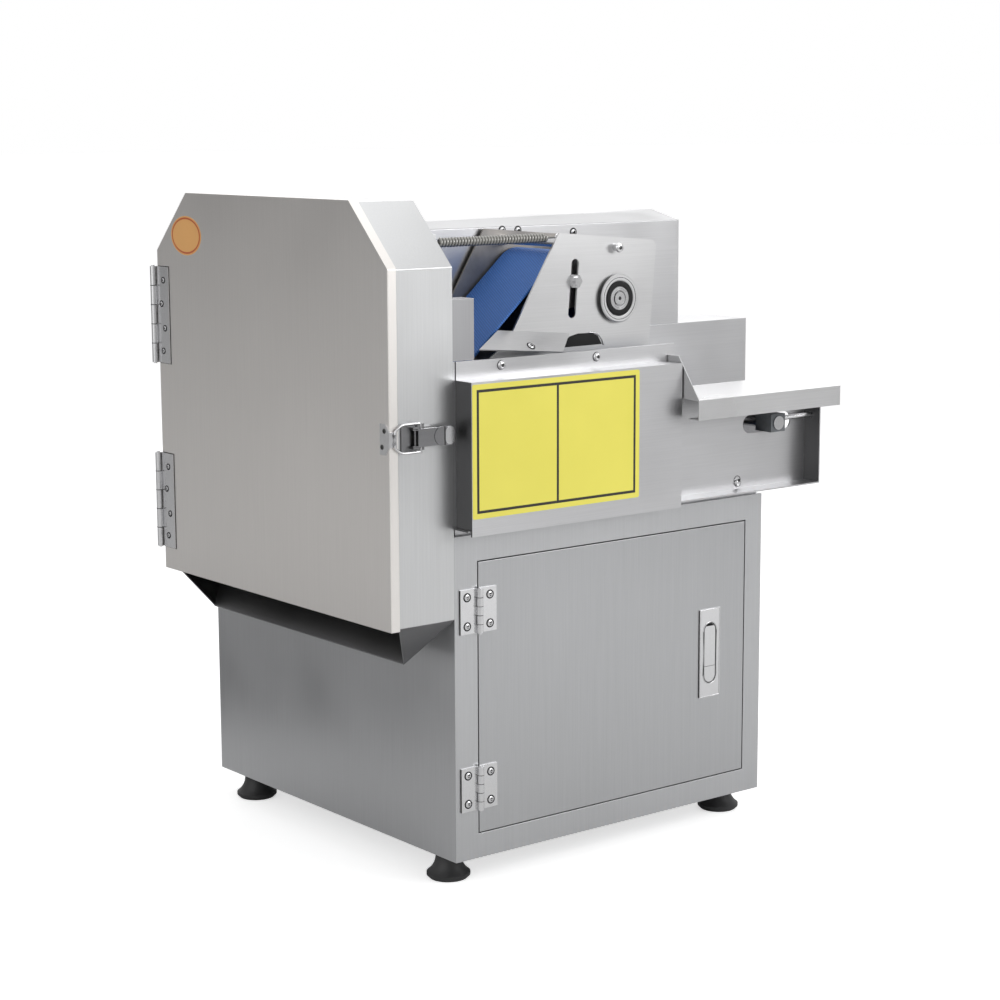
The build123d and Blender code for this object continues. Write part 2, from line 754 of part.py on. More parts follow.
def press_circles():
    spots = (((0.0, 0.0), press_drive_r), (press_top_at, press_top_r), (press_nip_at, press_nip_r))
    return [(*at_press(*at), r + run_gap) for at, r in spots]


def press_belt():
    belt = loop_y(grown(press_circles(), belt_t), belt_y0, belt_y1) \
        - loop_y(press_circles(), belt_y0 - 1, belt_y1 + 1)
    return tilted(belt)


press_top_z = 83.0
press_bend_z = -50.0
tab_drop = 24.0
tab_out = press_y - feed_plate_t - 1.5


def press_outline(left_shift=0.0):
    """The side plate's outline round its pivot: head, diagonal front and nip arm."""
    nx, nz = press_nip_at
    pts = [(-110 + left_shift, press_top_z), (66, press_top_z), (66, -62), (-60, -92),
           (nx + 14, nz - 17), (nx - 8, nz - 19), (nx - 19, nz - 4), (nx - 14, nz + 14),
           (-183 + left_shift, press_bend_z - 12), (-178 + left_shift, press_bend_z)]
    return [at_press(*p) for p in pts]


def press_holes(y0, y1):
    x, z = at_press(0, 0)
    holes = rod("y", (x, z), bearing_r, y0 - 1, y1 + 1)
    sx = press_x + press_top_at[0]
    half = press_slot_w / 2
    lo, hi = press_slot_z
    holes += loop_y([(sx, press_z + lo + half, half), (sx, press_z + hi - half, half)],
                    y0 - 1, y1 + 1)
    nx, nz = at_press(*press_nip_at)
    holes += rod("y", (nx, nz), 8 + bore_gap, y0 - 1, y1 + 1)
    return holes


def press_front_plate():
    y0, y1 = press_y, press_y + press_t
    plate = front_plate(press_outline(), y0, y1) - press_holes(y0, y1)
    corner = plate.edges().filter_by(Axis.Y).sort_by(lambda e: -(e.center().X + e.center().Z))[0]
    plate = fillet(corner, 10)
    left, right = press_x - 204, press_x - 80
    z = press_z + press_bend_z
    tab = Polyline((left, press_y, z), (left - 52, press_y - tab_out, z - tab_drop),
                   (right - 34, press_y - tab_out, z - tab_drop), (right, press_y, z), close=True)
    sheet = extrude(make_face(tab), 2.0, dir=(0, 0.62, -0.78))
    lug = block(left, press_x - 170, press_y, press_y + 2, z - 3, z)
    return tilted(plate + sheet + lug)


def press_rear_plate():
    y1 = feed_rear_y + 2
    y0 = y1 - press_t
    plate = front_plate(press_outline(-27.0), y0, y1) - press_holes(y0, y1)
    return tilted(plate)


tie_spots = ((-98.0, 70.0), (-9.0, 69.0), (52.0, -40.0))


def press_tie_bars():
    y0, y1 = press_y + press_t, feed_rear_y + 2 - press_t
    bars = [rod("y", at_press(*spot), 6, y0, y1) for spot in tie_spots]
    x, z = at_press(*tie_spots[1])
    bars.append(rod("y", (x, z), 5, press_y - 9, press_y))
    return [tilted(bar) for bar in bars]


def press_bearings():
    x, z = at_press(0, 0)
    parts = []
    for y0 in (belt_y0 - 1 - bearing_t, belt_y1 + 1):
        y1 = y0 + bearing_t if y0 < belt_y0 else cover_y - 1
        ring = rod("y", (x, z), bearing_r, y0, y1)
        parts.append(ring - rod("y", (x, z), shaft_r + bore_gap, y0 - 1, y1 + 1))
    return parts


def press_top_axle():
    x, z = at_press(*press_top_at)
    axle = rod("y", (x, z), 6, press_y - 10, feed_rear_y + 6)
    for y0, length in ((press_y - 6, 6), (feed_rear_y + 2, 4)):
        axle += Pos(x, y0, z) * Rot(-90, 0, 0) * extrude(RegularPolygon(10, 6), length)
    return tilted(axle)


def roller_with_bore(x, z, r, bore, y0, y1):
    return rod("y", (x, z), r, y0, y1) - rod("y", (x, z), bore + bore_gap, y0 - 1, y1 + 1)


def press_drive_roller():
    drum = rod("y", (press_x, press_z), press_drive_r, belt_y0, belt_y1)
    shaft = rod("y", (press_x, press_z), shaft_r, press_y - 4, press_chain_y + chain_w + 2)
    return drum + shaft + sprocket(press_x, press_z, press_sprocket_r, press_chain_y)


def press_top_roller():
    x, z = at_press(*press_top_at)
    return tilted(roller_with_bore(x, z, press_top_r, 6, belt_y0, belt_y1))


def press_nip_roller():
    x, z = at_press(*press_nip_at)
    drum = rod("y", (x, z), press_nip_r, belt_y0, belt_y1)
    return tilted(drum + rod("y", (x, z), 8, press_y - 2, feed_rear_y + 2))


spring_y = 47.0
spring_r = 6.5
spring_wire = 2.4
spring_x0 = 14.0
spring_x1 = 192.0


def spring_bar():
    """Where the tilted press frame holds the bar that the spring hooks over."""
    dx, dz = tie_spots[0]
    a = radians(press_tilt)
    return press_x + dx * cos(a) + dz * sin(a), press_z - dx * sin(a) + dz * cos(a)


def press_spring():
    bar_x, bar_z = spring_bar()
    z = bar_z + 6 + clear + spring_wire / 2
    body = rod("x", (spring_y, z), spring_r, spring_x0, spring_x1)
    body -= rod("x", (spring_y, z), spring_r - spring_wire, spring_x0 - 1, spring_x1 + 1)
    end = rod("x", (spring_y, z), spring_r, spring_x1 - 2, spring_x1)
    start = rod("x", (spring_y, z), spring_r, spring_x0, spring_x0 + 2)
    arm = rod("x", (spring_y, z), spring_wire / 2, spring_x1 - 2, bar_x + 8)
    tip = rod("z", (bar_x + 8, spring_y), spring_wire / 2, z - 8, z + spring_wire / 2)
    tail = rod("x", (spring_y, z), spring_wire / 2, 4, spring_x0 + 2)
    return body + end + start + arm + tip + tail


def spring_anchor():
    z = spring_bar()[1] + 7
    return block(0, 4, spring_y - 8, spring_y + 8, z - 12, z + 12)


# Knife
def knife_shaft():
    return rod("x", (knife_y, knife_z), knife_shaft_r, knife_x - 43, gear_x0 + 4)


def knife_hub():
    hub = rod("x", (knife_y, knife_z), 42, knife_x - 37, knife_x)
    arm = block(knife_x - 8, knife_x, knife_y - 100, knife_y + 100, knife_z - 24, knife_z + 24)
    hub += arm.rotate(Axis((0, knife_y, knife_z), (1, 0, 0)), blade_angle)
    return hub - rod("x", (knife_y, knife_z), knife_shaft_r, knife_x - 40, knife_x + 1)


def knife_blades():
    """Two curved blades, opposite each other, bevelled on the cutting side."""
    blades = []
    for turn in (0, 180):
        inner, outer = 62.0, knife_r
        pts = [(inner, -30), (outer - 40, -52), (outer - 2, -20), (outer - 6, 8), (inner, 34)]
        outline = Polyline(*[(knife_x, knife_y - y, knife_z + z) for y, z in pts], close=True)
        blade = extrude(make_face(outline), blade_t, dir=(1, 0, 0))
        blades.append(blade.rotate(Axis((0, knife_y, knife_z), (1, 0, 0)), turn + blade_angle))
    return blades


def pulley(r, at):
    body = rod("x", at, r, pulley_x, pulley_x + pulley_w)
    groove = loop_ring(at, r - 8, r + 1, pulley_x + 5, pulley_x + pulley_w - 5)
    return body - groove


def loop_ring(at, r0, r1, x0, x1):
    return rod("x", at, r1, x0, x1) - rod("x", at, r0, x0 - 1, x1 + 1)


def knife_pulley():
    at = (knife_y, knife_z)
    return pulley(knife_pulley_r, at) - rod("x", at, knife_shaft_r, pulley_x - 1,
                                            pulley_x + pulley_w + 1)


def motor_pulley():
    at = (knife_y, motor_z)
    shaft = rod("x", at, 9, pulley_x - 4, pulley_x + 60)
    return pulley(motor_pulley_r, at) + shaft


def knife_belt():
    circles = [(knife_y, knife_z, knife_pulley_r - 7), (knife_y, motor_z, motor_pulley_r - 7)]
    x0, x1 = pulley_x + 6, pulley_x + pulley_w - 6
    return loop_x(grown(circles, 7), x0, x1) - loop_x(circles, x0 - 1, x1 + 1)


def knife_motor():
    x0 = pulley_x + 50
    at = (knife_y, motor_z)
    body = rod("x", at, motor_r, x0, x0 + motor_len)
    for i in range(12):
        fin = block(x0 + 20, x0 + motor_len - 50, -1.5, 1.5, motor_r - 3, motor_r + 7)
        body += Pos(0, *at) * fin.rotate(Axis.X, 30 * i)
    body += rod("x", at, motor_r + 2, x0 + motor_len - 45, x0 + motor_len + 2)
    body += block(x0 + 20, x0 + motor_len - 60, knife_y - 65, knife_y + 65,
                  motor_base_z1, motor_base_z1 + 14)
    body += block(x0 + 40, x0 + motor_len - 80, knife_y - 40, knife_y + 40,
                  motor_base_z1, motor_z)
    return body - rod("x", at, 9 + bore_gap, x0 - 1, pulley_x + 62)


motor_base_z1 = 100.0


def motor_base():
    x0 = pulley_x + 40
    plate = block(x0, x0 + motor_len, knife_y - 90, knife_y + 90, motor_base_z1 - 5, motor_base_z1)
    for x in (x0, x0 + motor_len - 5):
        plate += block(x, x + 5, knife_y - 90, knife_y + 90, foot_h + cab_wall, motor_base_z1)
    return plate


def bearing_plates():
    """Two plates carry the knife shaft and one, along the belts, the press shaft."""
    parts = []
    for x in (24.0, 190.0):
        post = block(x, x + 8, knife_y - 70, knife_y + 70, bed_z1, knife_z + 60)
        parts.append(post - rod("x", (knife_y, knife_z), knife_shaft_r + 4, x - 1, x + 9))
    y0, y1 = cover_y + 3, cover_y + 9
    side = block(press_x - 45, press_x + 45, y0, y1, bed_z1, press_z + 30)
    parts.append(side - rod("y", (press_x, press_z), shaft_r + 4, y0 - 1, y1 + 1))
    return parts


def shaft_bearings():
    parts = []
    for x in (32.0, 198.0):
        flange = rod("x", (knife_y, knife_z), 48, x, x + 8) + rod("x", (knife_y, knife_z), 34,
                                                                  x, x + 26)
        parts.append(flange - rod("x", (knife_y, knife_z), knife_shaft_r + bore_gap,
                                  x - 1, x + 27))
    y0, y1 = cover_y + 9, press_chain_y - 1
    flange = rod("y", (press_x, press_z), 22, y0, y1)
    parts.append(flange - rod("y", (press_x, press_z), shaft_r + bore_gap, y0 - 1, y1 + 1))
    return parts


# Feed drive: a worm gearbox on the knife shaft with two outputs that turn opposite ways
gear_x0, gear_x1 = 228.0, 310.0
gear_y0, gear_y1 = 208.0, 330.0
gear_z0, gear_z1 = 552.0, 696.0
out_r = 9.0
feed_out = (268.0, 590.0)
press_out = (285.0, 664.0)
chain_w = 5.0
chain_t = 5.0
press_chain_y = 185.0
feed_chain_y = 196.0
feed_sprocket_r = 22.0
press_out_r = 25.0
press_sprocket_r = press_out_r * (press_drive_r + belt_t) / (roller_r + belt_t)
teeth = 15


def sprocket(x, z, r, y0):
    """A toothed disc, with its hub on the side of the belts."""
    disc = rod("y", (x, z), r, y0, y0 + chain_w)
    for i in range(teeth):
        a = 2 * 3.14159265 * (i + 0.5) / teeth
        disc -= rod("y", (x + r * cos(a), z + r * sin(a)), r / 9, y0 - 1, y0 + chain_w + 1)
    return disc


def drive_chains():
    """The chains round their (x, z, radius) sprockets, drawn as closed bands."""
    loops = []
    feed = [(*feed_out, feed_sprocket_r), (feed_drive_x, feed_roller_z, feed_sprocket_r)]
    press = [(*press_out, press_out_r), (press_x, press_z, press_sprocket_r)]
    for ends, y0 in ((feed, feed_chain_y), (press, press_chain_y)):
        inner = grown(ends, run_gap)
        band = loop_y(grown(inner, chain_t), y0, y0 + chain_w)
        loops.append(band - loop_y(inner, y0 - 1, y0 + chain_w + 1))
    return loops


def output_shaft(at, r, y0):
    shaft = rod("y", at, out_r, y0 - 1, gear_y0 + 12)
    return shaft + sprocket(*at, r, y0)


def feed_gearbox():
    box = block(gear_x0, gear_x1, gear_y0, gear_y1, gear_z0, gear_z1)
    box = fillet(box.edges().filter_by(Axis.Y), 8)
    box += block(gear_x0 + 10, gear_x1 - 10, gear_y0 + 10, gear_y1 - 10, bed_z1, gear_z0)
    for at in (feed_out, press_out):
        box -= rod("y", at, out_r + bore_gap, gear_y0 - 1, gear_y0 + 13)
    return box - rod("x", (knife_y, knife_z), knife_shaft_r + bore_gap, gear_x0 - 1, gear_x0 + 5)


# Switch box on the right side, and the cable gland at the back
gland_x = 480.0
gland_z = 90.0
gland_r = 9.0
switch_y = 90.0
switch_z = 400.0
switch_h = 60.0
switch_w = 110.0
switch_d = 42.0
button_r = 11.0


def switch_box():
    box = block(cab_w, cab_w + switch_d, switch_y, switch_y + switch_w, switch_z,
                switch_z + switch_h)
    box -= block(cab_w + 2, cab_w + switch_d - 2, switch_y + 2, switch_y + switch_w - 2,
                 switch_z + 2, switch_z + switch_h - 2)
    for y in button_places():
        at = (y, switch_z + switch_h / 2)
        box += loop_ring(at, button_r + 0.4, button_r + 4, cab_w + switch_d - 2,
                         cab_w + switch_d + 4)
        box -= rod("x", at, button_r + 0.4, cab_w + switch_d - 3, cab_w + switch_d + 5)
    return box


def button_places():
    return switch_y + switch_w * 0.27, switch_y + switch_w * 0.73


def push_button(y, head_r, proud):
    at = (y, switch_z + switch_h / 2)
    x1 = cab_w + switch_d
    stem = rod("x", at, button_r, x1 - 12, x1 + 4 + proud)
    return stem + rod("x", at, head_r, x1 + 4 + proud - 4, x1 + 4 + proud)


def cable_gland():
    body = rod("y", (gland_x, gland_z), gland_r, cab_d - 8, cab_d + 18)
    return body + rod("y", (gland_x, gland_z), 14, cab_d, cab_d + 6)


# The machine
os.makedirs("parts", exist_ok=True)
y_start, y_stop = button_places()
save("cabinet_body", cabinet_body())
save("bed_plate", bed_plate())
save("foot_rubbers", *[foot_rubber(x, y) for x, y in foot_places()])
save("foot_studs", *[foot_stud(x, y) for x, y in foot_places()])
save("fixed_hinge_leaves", *[door_hinge_fixed(z) for z in door_hinge_z],
     *[head_hinge_fixed(z) for z in head_hinge_z])
save("cabinet_door", cabinet_door())
save("door_hinge_leaves", *[door_hinge_moving(z) for z in door_hinge_z])
save("hinge_pins", *[hinge_pin(door_pin, z - door_hinge_h / 2, z + door_hinge_h / 2)
                     for z in door_hinge_z],
     *[hinge_pin(head_pin, z - head_hinge_h / 2, z + head_hinge_h / 2) for z in head_hinge_z])
save("lock_plate", lock_plate())
save("lock_handle", lock_handle())
save("lock_button", lock_button())
save("lock_tongue", lock_tongue())
save("head_housing", head_housing(), spring_anchor())
save("head_door", head_door())
save("head_door_fittings", *[head_hinge_moving(z) for z in head_hinge_z], latch_strike())
save("discharge_chute", discharge_chute())
save("throat_frame", throat_frame())
save("mouth_block", mouth_block())
save("latch_base", latch_base())
save("latch_lever", latch_lever())
save("latch_bail", latch_bail())
save("feeder_front_plate", feeder_front_plate())
save("feeder_rear_plate", feeder_rear_plate())
save("belt_bed", belt_bed())
save("feed_belt", feed_belt())
save("feed_bearings", *feed_bearings())
save("feed_drive_roller", feed_drive_roller())
save("feed_tail_roller", feed_roller(feed_tail_x, -18, feed_rear_y + 6))
save("feed_tray", feed_tray())
save("guard_cover", guard_cover())
save("feeder_screws", *front_screws(), take_up_screw())
save("lower_drive_cover", lower_drive_cover())
save("upper_drive_cover", upper_drive_cover())
save("press_front_plate", press_front_plate())
save("press_rear_plate", press_rear_plate())
save("press_cross_bars", *press_tie_bars(), press_top_axle())
save("press_bearings", *press_bearings())
save("cable_gland", cable_gland())
save("press_belt", press_belt())
save("press_drive_roller", press_drive_roller())
save("press_top_roller", press_top_roller())
save("press_nip_roller", press_nip_roller())
save("press_spring", press_spring())
save("knife_shaft", knife_shaft())
save("knife_hub", knife_hub())
save("knife_blades", *knife_blades())
save("knife_pulley", knife_pulley())
save("shaft_bearings", *shaft_bearings())
save("bearing_plates", *bearing_plates())
save("feed_gearbox", feed_gearbox())
save("feed_output_shaft", output_shaft(feed_out, feed_sprocket_r, feed_chain_y))
save("press_output_shaft", output_shaft(press_out, press_out_r, press_chain_y))
save("drive_chains", *drive_chains())
save("knife_belt", knife_belt())
save("motor_pulley", motor_pulley())
save("knife_motor", knife_motor())
save("motor_base", motor_base())
save("switch_box", switch_box())
save("start_button", push_button(y_start, button_r, 3))
save("stop_button", push_button(y_stop, 17, 10))
origin = row_origin()
write_pieces(origin)
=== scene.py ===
# %% [markdown]
# # A belt-fed vegetable slicing machine in brushed stainless steel
# The folded sheets, shafts and doors come from the CAD frame. This file adds what the frame leaves
# out: the grain of the steel, the weave of the belts, the spring's coil, the screws, the bearing's
# face and the bare yellow plate. Everything rides on the body that carries it.

# %% Load the frame
import json
from math import atan2, cos, pi, radians, sin
import bmesh
import bpy
from mathutils import Matrix, Vector


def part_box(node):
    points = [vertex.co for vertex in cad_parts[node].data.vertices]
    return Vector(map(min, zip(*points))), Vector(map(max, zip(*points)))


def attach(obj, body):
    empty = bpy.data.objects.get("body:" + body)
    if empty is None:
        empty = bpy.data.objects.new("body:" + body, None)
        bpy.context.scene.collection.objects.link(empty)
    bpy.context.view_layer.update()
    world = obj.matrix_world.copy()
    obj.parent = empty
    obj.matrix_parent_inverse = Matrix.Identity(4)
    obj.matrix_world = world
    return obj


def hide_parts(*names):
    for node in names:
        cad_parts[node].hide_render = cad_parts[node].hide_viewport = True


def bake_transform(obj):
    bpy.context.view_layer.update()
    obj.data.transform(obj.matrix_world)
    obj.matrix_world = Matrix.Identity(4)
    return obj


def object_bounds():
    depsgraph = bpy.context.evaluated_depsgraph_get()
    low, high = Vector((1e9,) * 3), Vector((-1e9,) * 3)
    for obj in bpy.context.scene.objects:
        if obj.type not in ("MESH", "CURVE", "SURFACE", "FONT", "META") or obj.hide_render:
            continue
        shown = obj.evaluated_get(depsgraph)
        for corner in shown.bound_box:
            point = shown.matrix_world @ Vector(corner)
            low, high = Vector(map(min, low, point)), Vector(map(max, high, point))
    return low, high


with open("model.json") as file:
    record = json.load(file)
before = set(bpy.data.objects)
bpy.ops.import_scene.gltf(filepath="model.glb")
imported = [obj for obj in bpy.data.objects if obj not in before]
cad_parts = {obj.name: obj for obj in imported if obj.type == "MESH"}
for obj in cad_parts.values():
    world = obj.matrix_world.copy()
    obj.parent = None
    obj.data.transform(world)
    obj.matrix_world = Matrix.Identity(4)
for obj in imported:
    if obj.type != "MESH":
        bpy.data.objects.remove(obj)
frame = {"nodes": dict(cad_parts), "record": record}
cad_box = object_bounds()
MM = 0.001
cabinet_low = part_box("cabinet_body")[0]
corner = Vector((cabinet_low.x, cabinet_low.y, 0.0))
print("cabinet corner", [round(c, 4) for c in corner])


def at(x, y, z):
    """A point in millimetres from the cabinet's front left corner at the floor."""
    return corner + Vector((x, y, z)) * MM


# %% [markdown]
# ## Camera
# The photograph was taken from the front left, a little above the middle of the machine, with a
# long lens. The camera's place and turn come from fitting the cabinet's and the head's corners.

# %% Camera
SENSOR_WIDTH = 36
PICTURE_PIXELS = 1000
FOCAL_PIXELS = 2289.5
CENTRE_X, CENTRE_Y = 503.4, 498.2
camera_place = at(-1766.7, -2339.2, 1019.2)
camera_turn, camera_height, camera_roll = radians(-38.323), radians(9.448), radians(-0.213)
back = Vector((sin(camera_turn) * cos(camera_height), -cos(camera_turn) * cos(camera_height),
               sin(camera_height)))
level = Vector((cos(camera_turn), sin(camera_turn), 0))
upright = back.cross(level)
right = cos(camera_roll) * level + sin(camera_roll) * upright
up = -sin(camera_roll) * level + cos(camera_roll) * upright

camera_data = bpy.data.cameras.new("photo_camera")
camera_data.sensor_width = SENSOR_WIDTH
camera_data.lens = FOCAL_PIXELS * SENSOR_WIDTH / PICTURE_PIXELS
camera_data.shift_x = (PICTURE_PIXELS / 2 - CENTRE_X) / PICTURE_PIXELS
camera_data.shift_y = (CENTRE_Y - PICTURE_PIXELS / 2) / PICTURE_PIXELS
camera_data.clip_end = 300
camera = bpy.data.objects.new("photo_camera", camera_data)
bpy.context.scene.collection.objects.link(camera)
camera.matrix_world = Matrix.Translation(camera_place) @ Matrix((right, up, back)).transposed().to_4x4()
bpy.context.scene.camera = camera
bpy.context.scene.view_settings.view_transform = "Standard"
print("lens", round(camera_data.lens, 1), "mm")

# %% [markdown]
# ## Floor and surround
# Brushed steel shows the room more than its own colour, so the room decides how it looks. The world
# is white where the camera sees it, a little softer in the steel, and softer still as light. The
# floor glows only to the camera, which keeps it pale and still leaves the machine's shadow on it.

# %% Floor and surround
FLOOR_HALF = 60.0
FLOOR_GLOW = 0.60
WORLD_LIGHT = 0.42
WORLD_EXTRA_IN_STEEL = 0.36


def link(tree, out_socket, in_socket):
    tree.links.new(out_socket, in_socket)


def floor():
    mesh = bpy.data.meshes.new("floor")
    half = FLOOR_HALF
    mesh.from_pydata([(-half, -half, 0), (half, -half, 0), (half, half, 0), (-half, half, 0)], [],
                     [(0, 1, 2, 3)])
    plane = bpy.data.objects.new("floor", mesh)
    bpy.context.scene.collection.objects.link(plane)
    plane.data.materials.append(floor_paint())


def floor_paint():
    """A pale floor that keeps the machine's shadow."""
    material = bpy.data.materials.new("pale_floor")
    material.use_nodes = True
    shader = material.node_tree.nodes["Principled BSDF"]
    shader.inputs["Base Color"].default_value = (0.94, 0.94, 0.94, 1)
    shader.inputs["Roughness"].default_value = 0.75
    shader.inputs["Specular IOR Level"].default_value = 0.1
    shader.inputs["Emission Color"].default_value = (1, 1, 1, 1)
    tree = material.node_tree
    path = tree.nodes.new("ShaderNodeLightPath")
    lift = tree.nodes.new("ShaderNodeMath")
    lift.operation = "MULTIPLY"
    lift.inputs[1].default_value = FLOOR_GLOW
    link(tree, path.outputs["Is Camera Ray"], lift.inputs[0])
    link(tree, lift.outputs[0], shader.inputs["Emission Strength"])
    return material


def surround():
    """White to the camera, a little softer in steel, and softer still as a source of light."""
    world = bpy.data.worlds.new("studio")
    world.use_nodes = True
    bpy.context.scene.world = world
    tree = world.node_tree
    background = tree.nodes["Background"]
    path = tree.nodes.new("ShaderNodeLightPath")
    seen = tree.nodes.new("ShaderNodeMath")
    seen.operation = "MAXIMUM"
    link(tree, path.outputs["Is Camera Ray"], seen.inputs[0])
    link(tree, path.outputs["Is Transmission Ray"], seen.inputs[1])
    shiny = tree.nodes.new("ShaderNodeMath")
    shiny.operation = "MULTIPLY_ADD"
    shiny.inputs[1].default_value = WORLD_EXTRA_IN_STEEL
    shiny.inputs[2].default_value = WORLD_LIGHT
    link(tree, path.outputs["Is Glossy Ray"], shiny.inputs[0])
    level_of = tree.nodes.new("ShaderNodeMath")
    level_of.operation = "MAXIMUM"
    link(tree, seen.outputs[0], level_of.inputs[0])
    link(tree, shiny.outputs[0], level_of.inputs[1])
    background.inputs["Color"].default_value = (1, 1, 1, 1)
    link(tree, level_of.outputs[0], background.inputs["Strength"])


floor()
surround()
print("floor half", FLOOR_HALF, "m, world light", WORLD_LIGHT)

# %% [markdown]
# ## Grey cards
# In the photograph the left faces of the machine mirror something darker than the room. Two grey
# cards stand there, one flat on the floor and one upright. They are studio aids and not part of the
# machine. They are hidden from the camera and cast no shadow from the lamps. They still keep some
# of the room's light off the floor, so views from the left and from behind show a pale grey patch.

# %% Grey cards
CARD_ON_FLOOR = [(-0.95, -0.25), (-0.42, 0.9), (-0.2, 1.35), (-1.05, 1.75), (-1.25, -0.25)]
CARD_LIFT = 0.003
CARD_UPRIGHT = [(-4.1, 2.3, 0.62), (-1.4, 4.0, 0.62), (-1.4, 4.0, 1.5), (-4.1, 2.3, 1.5)]
CARD_GREY = (0.28, 0.28, 0.285, 1)


def grey_cards():
    mesh = bpy.data.meshes.new("dark_card")
    mesh.from_pydata([(x, y, CARD_LIFT) for x, y in CARD_ON_FLOOR] + CARD_UPRIGHT, [],
                     [(0, 1, 2, 3, 4), (5, 6, 7, 8)])
    card = bpy.data.objects.new("dark_card", mesh)
    bpy.context.scene.collection.objects.link(card)
    paint = bpy.data.materials.new("dark_card")
    paint.use_nodes = True
    shader = paint.node_tree.nodes["Principled BSDF"]
    shader.inputs["Base Color"].default_value = CARD_GREY
    shader.inputs["Roughness"].default_value = 0.9
    mesh.materials.append(paint)
    card.visible_camera = False
    card.visible_shadow = False


grey_cards()
print("grey cards", 2)

# %% [markdown]
# ## Lamps
# Four large soft lamps stand in front, on the left, above and behind. A metal mirrors a lamp at its
# full brightness, so a small strong lamp burns a white patch into a door. The left and the overhead
# lamp are kept weak for their size, so that the sides and tops don't burn out in other views.

# %% Lamps
def lamp(name, place, target, width, height, watts):
    """A soft rectangular lamp that looks at a target point."""
    data = bpy.data.lights.new(name, "AREA")
    data.shape = "RECTANGLE"
    data.size = width
    data.size_y = height
    data.energy = watts
    obj = bpy.data.objects.new(name, data)
    bpy.context.scene.collection.objects.link(obj)
    turn = (Vector(target) - Vector(place)).to_track_quat("-Z", "Y").to_matrix().to_4x4()
    obj.matrix_world = Matrix.Translation(place) @ turn


machine_middle = (cad_box[0] + cad_box[1]) / 2
lamp("front_softbox", (1.5, -2.7, 1.85), machine_middle, 1.9, 1.7, 44)
lamp("left_softbox", (-3.0, -0.5, 1.5), machine_middle, 2.8, 2.6, 19)
lamp("overhead_softbox", (0.1, 0.3, 2.6), machine_middle, 2.2, 1.6, 10)
lamp("back_softbox", (2.7, 3.4, 1.7), machine_middle, 3.6, 1.6, 18)
print("lamps", len(bpy.data.lights))

# %% [markdown]
# ## Grain of the steel
# The mill rolls a fine grain into stainless sheet, all in one direction. It spreads highlights
# across the grain and leaves faint streaks. One group makes it for every steel finish: noise that
# is stretched along the grain gives the streaks, and a broad noise gives the cloudy patches that
# wiping leaves. The real grain is far finer than a millimetre, so most of it is roughness.

# %% A shader group for the grain
def new_group(name, inputs, outputs):
    """An empty shader group with its sockets, and its input and output nodes."""
    tree = bpy.data.node_groups.new(name, "ShaderNodeTree")
    for label, kind, value in inputs:
        socket = tree.interface.new_socket(label, in_out="INPUT", socket_type=kind)
        if value is not None:
            socket.default_value = value
    for label, kind in outputs:
        tree.interface.new_socket(label, in_out="OUTPUT", socket_type=kind)
    return tree, tree.nodes.new("NodeGroupInput"), tree.nodes.new("NodeGroupOutput")


def ranged(tree, source, low, high, to_low, to_high):
    """Map a value from one range to another."""
    node = tree.nodes.new("ShaderNodeMapRange")
    node.inputs["From Min"].default_value = low
    node.inputs["From Max"].default_value = high
    link(tree, source, node.inputs["Value"])
    for key, value in (("To Min", to_low), ("To Max", to_high)):
        if hasattr(value, "is_linked"):
            link(tree, value, node.inputs[key])
        else:
            node.inputs[key].default_value = value
    return node.outputs["Result"]


def grain_group():
    tree, given, result = new_group(
        "sheet_grain",
        [("Along", "NodeSocketVector", (900, 900, 12)), ("Cloud Scale", "NodeSocketFloat", 5.0)],
        [("Streak", "NodeSocketFloat"), ("Cloud", "NodeSocketFloat")])
    where = tree.nodes.new("ShaderNodeTexCoord")
    stretch = tree.nodes.new("ShaderNodeVectorMath")
    stretch.operation = "MULTIPLY"
    link(tree, where.outputs["Object"], stretch.inputs[0])
    link(tree, given.outputs["Along"], stretch.inputs[1])
    streak = tree.nodes.new("ShaderNodeTexNoise")
    streak.inputs["Scale"].default_value = 1.0
    streak.inputs["Detail"].default_value = 3.0
    link(tree, stretch.outputs[0], streak.inputs["Vector"])
    cloud = tree.nodes.new("ShaderNodeTexNoise")
    cloud.inputs["Detail"].default_value = 2.0
    link(tree, where.outputs["Object"], cloud.inputs["Vector"])
    link(tree, given.outputs["Cloud Scale"], cloud.inputs["Scale"])
    link(tree, streak.outputs["Fac"], result.inputs["Streak"])
    link(tree, cloud.outputs["Fac"], result.inputs["Cloud"])
    return tree


sheet_grain = grain_group()
print("shader group", sheet_grain.name)

# %% [markdown]
# ## Faces that look left
# The narrow left ends of the guard and the feeder are much darker than their fronts in the
# photograph. This group gives a mask from the direction of the face, and a metal can take a darker
# tone there, which is painted shade. On a real machine both faces have the same finish.

# %% A shader group for faces that look left
def left_face_group():
    """A mask that is 1 on faces square to the left and 0 elsewhere."""
    tree, given, result = new_group("left_faces", [("Start", "NodeSocketFloat", 0.6)],
                                    [("Mask", "NodeSocketFloat")])
    surface = tree.nodes.new("ShaderNodeNewGeometry")
    lean = tree.nodes.new("ShaderNodeVectorMath")
    lean.operation = "DOT_PRODUCT"
    lean.inputs[1].default_value = (-1, 0, 0)
    link(tree, surface.outputs["Normal"], lean.inputs[0])
    reach = tree.nodes.new("ShaderNodeMapRange")
    reach.inputs["From Max"].default_value = 0.9
    link(tree, lean.outputs["Value"], reach.inputs["Value"])
    link(tree, given.outputs["Start"], reach.inputs["From Min"])
    link(tree, reach.outputs["Result"], result.inputs["Mask"])
    return tree


left_faces = left_face_group()
print("shader group", left_faces.name)

# %% [markdown]
# ## Metals
# Each metal is one Principled shader. The grain group varies its colour and roughness a little and
# gives it a faint bump. Doors and the cabinet have upright grain, and the long covers and the
# feeder have grain along the belt. One function makes them all, because they differ only in tone,
# grain and roughness.

